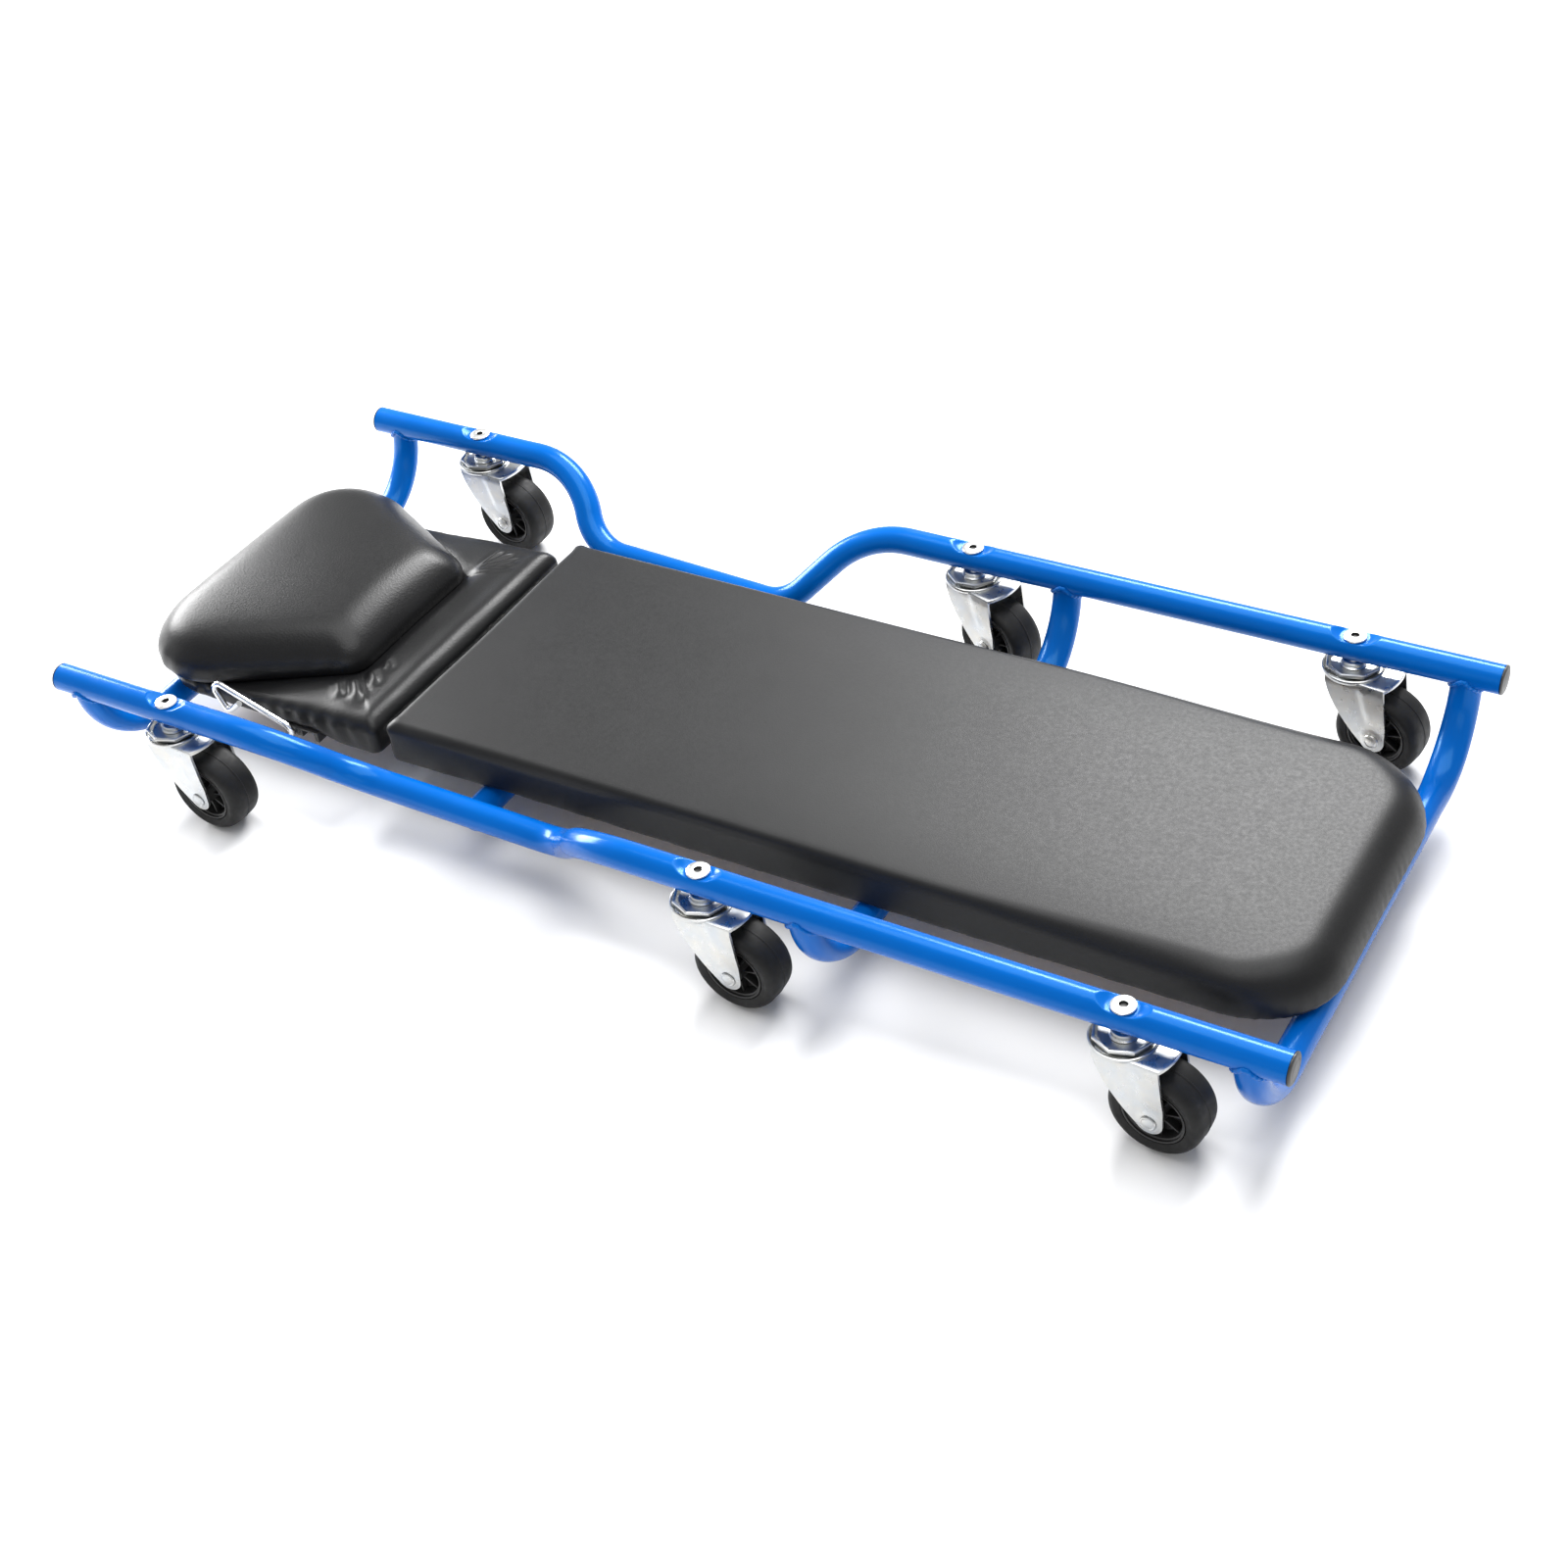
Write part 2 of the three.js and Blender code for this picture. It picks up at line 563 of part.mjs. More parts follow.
// a pressed strap that holds the wire up against the headrest board
function wireClip(y) {
  const [from, to] = [y - CLIP_HALF, y + CLIP_HALF];
  const under = PAD_BOTTOM - GAP;
  const outer = WIRE_R + 2.2;
  const saddle = box([PROP_X - outer, from, PROP_Z - outer], [PROP_X + outer, to, under]);
  const flange = box([CLIP_ENDS[0], from, under - CLIP_THICK], [CLIP_ENDS[1], to, under]);
  const lip = box([CLIP_ENDS[1] - CLIP_LIP[0], from, under - CLIP_LIP[1]], [CLIP_ENDS[1], to, under]);
  const groove = bar('y', WIRE_R + GAP, from - 1, to + 1, [PROP_X, PROP_Z], 12);
  return cut(join(saddle, flange, lip), groove);
}

// the notched strip welded between the head and shoulder cross tubes, where the leg of the wire stands
function notchRack() {
  const ends = [HEAD_CROSS_X + TUBE_R + 1, SHOULDER_CROSS_X - TUBE_R - 1];
  const bottom = RACK_TOP - RACK_DEPTH;
  const points = [[ends[0], bottom], [ends[1], bottom], [ends[1], RACK_TOP - 3]];
  for (let x = PROP_X - 18; x > PROP_X - PROP_LEG - 12; x -= TOOTH_PITCH) {
    points.push([x, RACK_TOP - 3]);
    points.push([x - TOOTH_PITCH + 2, RACK_TOP]);
    points.push([x - TOOTH_PITCH, RACK_TOP]);
  }
  points.push([ends[0], RACK_TOP]);
  return uprightPlate(points, -RACK_HALF, RACK_HALF);
}

addTo(creeper, 'prop_wire', propWire(), zinc());
addTo(creeper, 'wire_clip_right', wireClip(CLIP_Y.right), black());
addTo(creeper, 'wire_clip_left', wireClip(CLIP_Y.left), black());
addTo(creeper, 'notch_rack', notchRack(), black());

export default creeper;
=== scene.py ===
"""The looks of the mechanics creeper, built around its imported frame. Lengths are in metres."""

import json
import math

import bmesh
import bpy
import numpy as np
from mathutils import Matrix, Vector, noise


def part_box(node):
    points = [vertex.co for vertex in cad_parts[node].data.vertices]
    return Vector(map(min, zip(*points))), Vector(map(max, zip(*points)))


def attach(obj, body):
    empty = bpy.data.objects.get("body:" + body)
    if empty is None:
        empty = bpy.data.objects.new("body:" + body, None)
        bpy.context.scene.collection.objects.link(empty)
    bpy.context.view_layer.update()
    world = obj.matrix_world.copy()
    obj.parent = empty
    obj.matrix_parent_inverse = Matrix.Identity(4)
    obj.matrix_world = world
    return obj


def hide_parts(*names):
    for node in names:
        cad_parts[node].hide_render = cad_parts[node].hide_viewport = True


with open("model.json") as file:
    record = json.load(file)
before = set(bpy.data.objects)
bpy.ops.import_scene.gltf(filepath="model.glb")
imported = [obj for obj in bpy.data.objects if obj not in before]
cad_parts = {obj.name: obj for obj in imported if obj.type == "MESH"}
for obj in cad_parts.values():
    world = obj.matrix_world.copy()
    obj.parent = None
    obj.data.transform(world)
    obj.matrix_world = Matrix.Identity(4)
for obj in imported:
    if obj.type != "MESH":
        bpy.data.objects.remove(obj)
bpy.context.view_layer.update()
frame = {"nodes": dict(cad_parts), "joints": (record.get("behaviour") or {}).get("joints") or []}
MM = 0.001

JOINTS = {joint["name"]: joint for joint in frame["joints"]}
PLACES = ["head", "middle", "foot"]
SIDES = {"right": -1, "left": 1}
SWIVEL_0 = JOINTS["swivel_head_right"]["pos_m"]
RAIL_Z = SWIVEL_0[2]
RAIL_Y = -SWIVEL_0[1]
BOLT_X = [JOINTS[f"swivel_{place}_right"]["pos_m"][0] for place in PLACES]


# ---- camera
CAMERA_AT = (0.8265, -1.1479, 1.0503 + RAIL_Z)
CAMERA_RIGHT = (0.8598, 0.5001, -0.1033)
CAMERA_AHEAD = (-0.4459, 0.6366, -0.6292)
CAMERA_LENS = 54.1
CAMERA_SHIFT = (0.0008, -0.00725)


def make_camera():
    data = bpy.data.cameras.new("camera")
    data.sensor_width = 36
    data.lens = CAMERA_LENS
    data.shift_x, data.shift_y = CAMERA_SHIFT
    camera = bpy.data.objects.new("camera", data)
    right = Vector(CAMERA_RIGHT).normalized()
    ahead = Vector(CAMERA_AHEAD).normalized()
    up = right.cross(ahead).normalized()
    turn = Matrix((right, up, -ahead)).transposed().to_4x4()
    camera.matrix_world = Matrix.Translation(CAMERA_AT) @ turn
    bpy.context.scene.collection.objects.link(camera)
    bpy.context.scene.camera = camera


# ---- small helpers
def mm(*pairs):
    """Pairs given in millimetres, as metres."""
    return [(a * MM, b * MM) for a, b in pairs]


def smoothstep(t):
    t = np.clip(t, 0, 1)
    return t * t * (3 - 2 * t)


def bump(distance, width):
    """1 at the middle and 0 beyond width, with a soft shoulder."""
    return smoothstep(1 - np.abs(distance) / width)


def between(value, low, high):
    """0 up to low and 1 from high on, with a soft rise."""
    return smoothstep((value - low) / (high - low))


def add_mesh(name, points, faces, material, sharp):
    data = bpy.data.meshes.new(name)
    data.from_pydata([tuple(p) for p in points], [], faces)
    data.update()
    data.shade_smooth()
    data.set_sharp_from_angle(angle=math.radians(sharp))
    data.materials.append(material)
    piece = bpy.data.objects.new(name, data)
    bpy.context.scene.collection.objects.link(piece)
    return piece


def paint_faces(piece, material, chosen):
    """Gives a second material to the faces whose centre passes the test."""
    piece.data.materials.append(material)
    for face in piece.data.polygons:
        if chosen(face.center):
            face.material_index = 1


def place_piece(piece, body, node):
    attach(piece, body)
    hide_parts(node)


def grid_faces(rows, columns, closed_columns=True, closed_rows=False):
    faces = []
    for i in range(rows if closed_rows else rows - 1):
        here = i * columns
        above = (i + 1) % rows * columns
        for j in range(columns if closed_columns else columns - 1):
            on = (j + 1) % columns
            faces.append((here + j, here + on, above + on, above + j))
    return faces


def around(count):
    """Angles of evenly spaced points round a circle."""
    return np.linspace(0, 2 * math.pi, count, endpoint=False)


def turned(points, sides):
    """A solid turned about Z from (radius, height) points: ends on the axis, or else a closed loop."""
    on_axis = points[0][0] == 0
    body = points[1:-1] if on_axis else points
    verts = [(r * math.cos(a), r * math.sin(a), z) for r, z in body for a in around(sides)]
    faces = grid_faces(len(body), sides, closed_rows=not on_axis)
    if on_axis:
        for pole, row in ((points[0], 0), (points[-1], len(body) - 1)):
            verts.append((0, 0, pole[1]))
            last = len(verts) - 1
            ring = [row * sides + j for j in range(sides)]
            pairs = zip(ring, ring[1:] + ring[:1])
            faces += [(last, b, a) if row == 0 else (last, a, b) for a, b in pairs]
    return np.array(verts), faces


def merge(*parts):
    verts = []
    faces = []
    for points, part_faces in parts:
        start = len(verts)
        verts += [tuple(p) for p in points]
        faces += [tuple(start + i for i in face) for face in part_faces]
    return np.array(verts), faces


def moved(part, matrix):
    points, faces = part
    turn = np.array(matrix.to_3x3())
    return points @ turn.T + np.array(matrix.translation), faces


def flipped(part):
    """The same part with its faces turned inside out."""
    points, faces = part
    return points, [tuple(reversed(face)) for face in faces]


def mirrored_y(part):
    points, faces = flipped(part)
    return points * [1, -1, 1], faces


def rounded_box(low, high, radius):
    """A box with softened edges, as points and faces."""
    shape = bmesh.new()
    bmesh.ops.create_cube(shape, size=1)
    for vert in shape.verts:
        vert.co = Vector(((vert.co[i] + 0.5) * (high[i] - low[i]) + low[i] for i in range(3)))
    bmesh.ops.bevel(shape, geom=shape.edges[:], offset=radius, segments=2, affect="EDGES", profile=0.5)
    points = np.array([tuple(v.co) for v in shape.verts])
    faces = [tuple(v.index for v in f.verts) for f in shape.faces]
    shape.free()
    return points, faces


# ---- procedural materials
class Look:
    """One Principled material with its own noise-driven colour, roughness and bump."""

    def __init__(self, name, color, roughness, metallic=0.0, **sockets):
        self.material = bpy.data.materials.new(name)
        self.material.use_nodes = True
        self.tree = self.material.node_tree
        self.shader = self.tree.nodes["Principled BSDF"]
        self.shader.inputs["Base Color"].default_value = (*color, 1)
        self.shader.inputs["Roughness"].default_value = roughness
        self.shader.inputs["Metallic"].default_value = metallic
        for socket, value in sockets.items():
            self.shader.inputs[socket.replace("_", " ")].default_value = value
        self.place = self.tree.nodes.new("ShaderNodeTexCoord")

    def node(self, kind, **settings):
        made = self.tree.nodes.new(kind)
        for key, value in settings.items():
            if key in made.inputs:
                made.inputs[key].default_value = value
            else:
                setattr(made, key, value)
        return made

    def link(self, source, target):
        self.tree.links.new(source, target)

    def texture(self, kind, stretch=(1, 1, 1), **settings):
        mapping = self.node("ShaderNodeMapping", Scale=stretch)
        self.link(self.place.outputs["Object"], mapping.inputs["Vector"])
        made = self.node(kind, **settings)
        self.link(mapping.outputs["Vector"], made.inputs["Vector"])
        return made.outputs

    def noise(self, scale, detail, stretch=(1, 1, 1), roughness=0.5):
        settings = {"Scale": scale, "Detail": detail, "Roughness": roughness}
        return self.texture("ShaderNodeTexNoise", stretch, **settings)["Fac"]

    def cells(self, scale):
        return self.texture("ShaderNodeTexVoronoi", feature="SMOOTH_F1", Scale=scale)["Distance"]

    def ramp(self, source, stops):
        made = self.node("ShaderNodeValToRGB")
        ramp = made.color_ramp
        for index, (at, value) in enumerate(stops):
            stop = ramp.elements[index] if index < 2 else ramp.elements.new(at)
            stop.position = at
            stop.color = (*value, 1) if isinstance(value, tuple) else (value, value, value, 1)
        self.link(source, made.inputs["Fac"])
        return made.outputs["Color"]

    def color_from(self, source, stops):
        self.link(self.ramp(source, stops), self.shader.inputs["Base Color"])

    def roughness_from(self, source, stops):
        self.link(self.ramp(source, stops), self.shader.inputs["Roughness"])

    def bumps(self, *layers):
        """Each layer is (height source, strength, distance in metres)."""
        normal = None
        for source, strength, distance in layers:
            made = self.node("ShaderNodeBump", Strength=strength, Distance=distance)
            self.link(source, made.inputs["Height"])
            if normal is not None:
                self.link(normal, made.inputs["Normal"])
            normal = made.outputs["Normal"]
        self.link(normal, self.shader.inputs["Normal"])
        return self.material


def blue_powder_coat():
    look = Look("blue_powder_coat", (0.0, 0.105, 0.45), 0.22, Coat_Weight=0.04, Coat_Roughness=0.08,
                Specular_IOR_Level=0.36, Specular_Tint=(0.2, 0.68, 1.0, 1))
    look.color_from(look.noise(9, 4), [(0.3, (0.0, 0.095, 0.42)), (0.7, (0.0, 0.115, 0.49))])
    look.roughness_from(look.noise(60, 3), [(0.35, 0.18), (0.75, 0.27)])
    return look.bumps((look.noise(240, 2), 0.05, 0.0003), (look.noise(1500, 2), 0.05, 0.0001))


def zinc_plate(name, shade, rough=0.3):
    look = Look(name, (shade, shade, shade), rough, metallic=1.0)
    warm = (shade * 1.03, shade * 1.01, shade * 0.95)
    cool = (shade * 0.9, shade * 0.95, shade)
    look.color_from(look.noise(70, 5, roughness=0.6), [(0.3, cool), (0.7, warm)])
    look.roughness_from(look.noise(160, 5), [(0.3, rough * 0.8), (0.72, rough * 1.35)])
    return look.bumps((look.noise(260, 4), 0.1, 0.0003), (look.noise(2600, 2), 0.1, 0.00006))


def bright_wire():
    look = Look("bright_wire", (0.83, 0.84, 0.85), 0.14, metallic=1.0)
    look.roughness_from(look.noise(120, 4), [(0.35, 0.08), (0.75, 0.2)])
    return look.bumps((look.noise(160, 3), 0.04, 0.0002))


def moulded_black(name, shade, rough):
    look = Look(name, (shade, shade, shade * 1.03), rough)
    look.color_from(look.noise(50, 4), [(0.3, (shade * 0.8,) * 3), (0.75, (shade * 1.5,) * 3)])
    look.roughness_from(look.noise(90, 4), [(0.3, rough * 0.85), (0.75, rough * 1.25)])
    return look.bumps((look.noise(1500, 2), 0.25, 0.0001))


def tyre_rubber():
    look = Look("tyre_rubber", (0.009, 0.009, 0.009), 0.6, Specular_IOR_Level=0.3)
    scuffs = look.noise(55, 8, roughness=0.7)
    dust = [(0.42, (0.006, 0.006, 0.006)), (0.64, (0.010, 0.010, 0.010)), (0.82, (0.04, 0.039, 0.037))]
    look.color_from(scuffs, dust)
    look.roughness_from(look.noise(120, 5), [(0.3, 0.48), (0.75, 0.7)])
    return look.bumps((look.noise(900, 3), 0.3, 0.0002), (look.noise(140, 6, roughness=0.7), 0.2, 0.0004))


def grained_vinyl(name, shade, rough, cell, depth):
    look = Look(name, (shade, shade, shade * 1.05), rough, Specular_IOR_Level=0.3)
    low = (shade * 0.85, shade * 0.87, shade * 0.94)
    high = (shade * 1.2, shade * 1.22, shade * 1.3)
    look.color_from(look.noise(26, 5), [(0.3, low), (0.72, high)])
    look.roughness_from(look.noise(340, 4), [(0.3, rough * 0.92), (0.75, rough * 1.1)])
    pebble = look.cells(cell)
    fine = look.noise(cell * 2.3, 3)
    return look.bumps((pebble, 0.3, depth), (fine, 0.12, depth * 0.5))


def plywood():
    look = Look("plywood", (0.45, 0.3, 0.16), 0.62)
    grain = look.noise(38, 8, (0.12, 1, 1), 0.62)
    layers = [(0.32, (0.3, 0.18, 0.085)), (0.55, (0.47, 0.31, 0.16)), (0.75, (0.58, 0.42, 0.25))]
    look.color_from(grain, layers)
    look.roughness_from(look.noise(90, 4, (0.2, 1, 1)), [(0.3, 0.5), (0.7, 0.75)])
    return look.bumps((grain, 0.25, 0.0004))


def floor_white():
    look = Look("floor_white", (0.86, 0.86, 0.86), 0.75)
    return look.bumps((look.noise(30, 2), 0.02, 0.001))


make_camera()
PAINT = blue_powder_coat()
ZINC = zinc_plate("zinc_plate", 0.55)
BOLT_ZINC = zinc_plate("bolt_plate", 0.88)
WIRE = bright_wire()
CAP_BLACK_AND_SOCKET_SHADE = moulded_black("cap_black", 0.018, 0.4)
HUB_BLACK = moulded_black("hub_black", 0.011, 0.45)
STEEL_BLACK = moulded_black("steel_black", 0.02, 0.35)
RUBBER = tyre_rubber()
BED_VINYL = grained_vinyl("bed_vinyl", 0.007, 0.44, 1150, 0.0001)
HEADREST_VINYL = grained_vinyl("headrest_vinyl", 0.006, 0.36, 620, 0.00026)
PLYWOOD = plywood()


# ---- tubes
TUBE_R = 11.1 * MM
RAIL_END = 0.5055
CAP_FACE_X = 0.508
DIP_CORNER_X = [-0.289, -0.256, -0.066, -0.009]
DIP_IN = [0.041, 0.044]
DIP_DROP = [0.051, 0.0575]
DIP_BEND_R = [0.070, 0.050, 0.042, 0.080]
CROSS_DROP = 0.068
CROSS_X = {"head": -0.482, "hip": 0.168, "foot": 0.480}
SHOULDER_X = -0.157
TUBE_SIDES = 56
DIMPLE_FLOOR = 7.2 * MM          # height of the pressed flat over the rail's centre line
DIMPLE_FLAT_R = 9.6 * MM
DIMPLE_SLOPE = 11 * MM
DIMPLE_REACH = 24 * MM
BEAD_R = 1.9 * MM
BEAD_SIDES = 10


def bend(corner, before, after, radius, count=None, step_angle=3.0):
    """Points along the round bend that joins two straight runs at a corner."""
    back = (before - corner).normalized()
    on = (after - corner).normalized()
    inside = back.angle(on)
    turn = math.pi - inside
    centre = corner + (back + on).normalized() * (radius / math.sin(inside / 2))
    setback = radius / math.tan(inside / 2)
    start = corner + back * setback - centre
    end = corner + on * setback - centre
    count = count or max(4, int(math.degrees(turn) / step_angle))
    points = []
    for k in range(count + 1):
        part = k / count
        spoke = start * math.sin((1 - part) * turn) + end * math.sin(part * turn)
        points.append(centre + spoke / math.sin(turn))
    return points


def bent_path(corners, radii, step_angle=3.0, step=0.008):
    """Points along straight runs joined by round bends."""
    corners = [Vector(c) for c in corners]
    stations = [corners[0]]
    for i, radius in enumerate(radii, start=1):
        stations += bend(corners[i], corners[i - 1], corners[i + 1], radius, step_angle=step_angle)
    stations.append(corners[-1])
    points = [stations[0]]
    for a, b in zip(stations, stations[1:]):
        count = max(1, math.ceil((b - a).length / step))
        points += [a.lerp(b, k / count) for k in range(1, count + 1)]
    return np.array([tuple(p) for p in points])


def sweep(path, radius, sides, first_side=(0, 0, 1), squash=None):
    """A closed tube along a path; squash(path) stretches each ring along its side and across it."""
    tangents = np.gradient(path, axis=0)
    tangents /= np.linalg.norm(tangents, axis=1)[:, None]
    side = Vector(first_side)
    rings = []
    stretch = squash(path) if squash else np.ones((len(path), 2))
    angles = around(sides)
    for point, tangent, (along, across) in zip(path, tangents, stretch):
        tangent = Vector(tangent)
        side = (side - tangent * side.dot(tangent)).normalized()
        other = tangent.cross(side)
        for a in angles:
            offset = side * (math.cos(a) * along * radius) + other * (math.sin(a) * across * radius)
            rings.append(Vector(point) + offset)
    faces = grid_faces(len(path), sides)
    faces.append(tuple(reversed(range(sides))))
    faces.append(tuple(range((len(path) - 1) * sides, len(path) * sides)))
    return np.array([tuple(p) for p in rings]), faces


def rail_corners(sign):
    corners = [(-RAIL_END, sign * RAIL_Y, RAIL_Z)]
    for i, x in enumerate(DIP_CORNER_X):
        low = i in (1, 2)
        y = RAIL_Y - DIP_IN[i - 1] if low else RAIL_Y
        z = RAIL_Z - DIP_DROP[i - 1] if low else RAIL_Z
        corners.append((x, sign * y, z))
    corners.append((RAIL_END, sign * RAIL_Y, RAIL_Z))
    return corners


def finer_near(path, centres, reach, step):
    """Adds points to a path where it passes a caster bolt."""
    out = [path[0]]
    for a, b in zip(path, path[1:]):
        near = any(min(abs(a[0] - x), abs(b[0] - x)) < reach for x in centres)
        count = max(1, math.ceil(np.linalg.norm(b - a) / step)) if near else 1
        out += [a + (b - a) * k / count for k in range(1, count + 1)]
    return np.array(out)


def rail_ovals(path):
    """Bent tube flattens a little through each bend of the dip."""
    out = np.ones((len(path), 2))
    for x in DIP_CORNER_X:
        soft = bump(path[:, 0] - x, 0.045)
        out[:, 0] -= 0.06 * soft
        out[:, 1] += 0.04 * soft
    return out


def make_rail(side, sign):
    path = finer_near(bent_path(rail_corners(sign), DIP_BEND_R), BOLT_X, 0.03, 0.0011)
    points, faces = sweep(path, TUBE_R, 72, squash=rail_ovals)
    for x in BOLT_X:
        distance = np.hypot(points[:, 0] - x, points[:, 1] - sign * RAIL_Y)
        rise = smoothstep((distance - DIMPLE_FLAT_R) / DIMPLE_SLOPE)
        ceiling = RAIL_Z + DIMPLE_FLOOR + (TUBE_R * 1.02 - DIMPLE_FLOOR) * rise
        near = distance < DIMPLE_REACH
        points[near, 2] = np.minimum(points[near, 2], ceiling[near])
    piece = add_mesh(f"rail_tube_{side}", points, faces, PAINT, sharp=50)
    place_piece(piece, "frame", f"side_rail_{side}")


def cross_ovals(path):
    """The hanging tubes were bent tight, so their bends are wider than they are deep."""
    out = np.ones((len(path), 2))
    swing = np.abs(path[:, 1]) - (RAIL_Y - 0.030)
    soft = bump(swing, 0.052)
    out[:, 0] -= 0.15 * soft
    out[:, 1] += 0.1 * soft
    return out


def weld_bead(x, sign):
    """A bead along the line where a cross tube meets the underside of a rail."""
    angles = around(120)
    bulge = 1.0 + 0.12 * np.sin(angles * 26 + x * 40)
    path = np.stack([
        x + (TUBE_R + 0.0004) * np.cos(angles),
        sign * RAIL_Y + (TUBE_R + 0.0002) * np.sin(angles) * 0.985,
        RAIL_Z - TUBE_R * np.sqrt(np.clip(np.cos(angles) ** 2, 0.02, 1)) - 0.0006,
    ], axis=1)
    tangents = np.roll(path, -1, axis=0) - np.roll(path, 1, axis=0)
    tangents /= np.linalg.norm(tangents, axis=1)[:, None]
    rings = []
    outward = np.stack([np.cos(angles), np.sin(angles), np.zeros_like(angles)], axis=1)
    for point, tangent, out, size in zip(path, tangents, outward, bulge):
        tangent = Vector(tangent)
        side = (Vector(out) - tangent * Vector(out).dot(tangent)).normalized()
        other = tangent.cross(side)
        for a in around(BEAD_SIDES):
            rings.append(Vector(point) + (side * math.cos(a) + other * math.sin(a)) * BEAD_R * size)
    faces = grid_faces(len(path), BEAD_SIDES, closed_rows=True)
    return np.array([tuple(p) for p in rings]), faces


def make_cross_tube(name, x):
    low = RAIL_Z - CROSS_DROP
    top = RAIL_Z - 0.002
    corners = [(x, -RAIL_Y, top), (x, -RAIL_Y, low), (x, RAIL_Y, low), (x, RAIL_Y, top)]
    radius = CROSS_DROP - 0.0025
    path = bent_path(corners, [radius, radius], 2.5, 0.006)
    tube = sweep(path, TUBE_R, TUBE_SIDES, first_side=(0, 1, 0), squash=cross_ovals)
    part = merge(tube, weld_bead(x, -1), weld_bead(x, 1))
    piece = add_mesh(f"{name}_cross_bar", *part, PAINT, sharp=50)
    place_piece(piece, "frame", f"cross_tube_{name}")


def make_shoulder_tube():
    part = (SHOULDER_X - DIP_CORNER_X[1]) / (DIP_CORNER_X[2] - DIP_CORNER_X[1])
    half = RAIL_Y - DIP_IN[0] - part * (DIP_IN[1] - DIP_IN[0]) - 0.006
    z = RAIL_Z - CROSS_DROP
    path = bent_path([(SHOULDER_X, -half, z), (SHOULDER_X, half, z)], [])
    tube = sweep(path, TUBE_R, TUBE_SIDES)
    piece = add_mesh("shoulder_cross_bar", *tube, PAINT, sharp=50)
    place_piece(piece, "frame", "cross_tube_shoulder")


def make_end_caps():
    face = 2.2 * MM
    profile = mm((0, -14), (7.9, -14), (8.9, -12), (8.9, 0))
    dome = [(0.985, 0), (1.01, 0.3), (1.01, 0.9), (0.93, 1.6), (0.72, 2.0), (0.66, 1.8), (0.6, 2.0)]
    profile += [(TUBE_R * share, height * MM) for share, height in dome]
    profile += [(TUBE_R * 0.3, face), (0, face)]
    for side, sign in SIDES.items():
        for end, direction in (("head", -1), ("foot", 1)):
            turn = Matrix.Rotation(direction * math.pi / 2, 4, "Y")
            at = Matrix.Translation((direction * (CAP_FACE_X - face), sign * RAIL_Y, RAIL_Z))
            part = moved(turned(profile, 64), at @ turn)
            piece = add_mesh(f"cap_{end}_{side}", *part, CAP_BLACK_AND_SOCKET_SHADE, sharp=40)
            place_piece(piece, "frame", f"end_cap_{end}_{side}")


# ---- casters, drawn about the point where the bolt crosses the rail centre line
CROWN_TOP = -17.9 * MM
PLATE = 2.0 * MM
CROWN_BACK = -12 * MM
CROWN_FRONT_R = 42 * MM
FORK_HALF = 19.3 * MM
FORK_FRONT = 32.7 * MM
WHEEL_R = 33.6 * MM
WHEEL_HALF = 15 * MM
RIM_R = 22.4 * MM
TRAIL = 26.2 * MM
AXLE_DROP = RAIL_Z - WHEEL_R
LEG_END_R = 9.6 * MM
LEG_BACK = [
    (17.9, -13.6), (23.3, -13.2), (30, -11.2), (36.7, -8.4), (44, -4.4), (50.6, 0.0), (56.6, 4.6),
    (62.5, 9.6),
]
SOCKET_R = 3.0 * MM
ON_AXLE = Matrix.Translation((TRAIL, 0, -AXLE_DROP)) @ Matrix.Rotation(math.pi / 2, 4, "X")


def bolt():
    floor = DIMPLE_FLOOR + 0.3 * MM
    shank = 3.9 * MM
    nut = CROWN_TOP - PLATE - 1.4 * MM
    cap = mm(
        (8.0, 0), (8.5, 0.4), (8.6, 1.0), (8.2, 1.6), (6.6, 2.1), (3.8, 2.3), (3.0, 2.0), (2.9, 1.7),
        (2.8, 0.2), (0, 0.1),
    )
    stem = [(0, nut - 6.5 * MM), (shank, nut - 6.5 * MM), (shank, floor)]
    head = turned(stem + [(r, floor + h) for r, h in cap], 64)
    hexagon = mm((3.9, 0.5), (3.9, 6.0), (6.6, 6.0), (7.2, 5.2), (7.4, 1.0), (7.0, 0.5))
    lock_nut = turned([(r, nut - h) for r, h in hexagon], 6)
    spacer = turned(mm(
        (3.9, -11.5), (7.8, -11.5), (8.6, -12.2), (8.6, -14.5), (9.6, -15.2), (9.6, -15.8), (3.9, -15.8),
    ), 64)
    return merge(head, lock_nut, spacer)


def swivel_cup():
    """A dished race with a rim that is crimped in eight short flats."""
    points, faces = flipped(turned(mm(
        (4.2, -17.2), (17.2, -17.2), (19.0, -16.9), (19.9, -16.3), (20.4, -15.0), (20.5, -13.9),
        (20.1, -13.2), (19.0, -13.0), (18.2, -13.4), (17.6, -14.6), (16.6, -15.8), (15.0, -16.1),
        (9.8, -16.1), (4.2, -16.1),
    ), 128))
    angle = np.arctan2(points[:, 1], points[:, 0])
    radius = np.hypot(points[:, 0], points[:, 1])
    flats = np.cos(math.pi / 8) / np.cos((angle % (math.pi / 4)) - math.pi / 8)
    outer = smoothstep((radius - 16 * MM) / (3 * MM))
    points[:, :2] *= 1 + (flats * 1.035 - 1)[:, None] * outer[:, None]
    return points, faces


def lower_race():
    """The ring pressed up out of the crown, which carries the balls."""
    return flipped(turned(mm(
        (12.5, -18.6), (19.6, -18.8), (20.8, -18.0), (21.4, -17.0), (22.1, -16.6), (22.8, -16.9),
        (23.1, -17.8), (22.9, -19.0), (22.0, -20.4), (12.5, -20.4),
    ), 96))


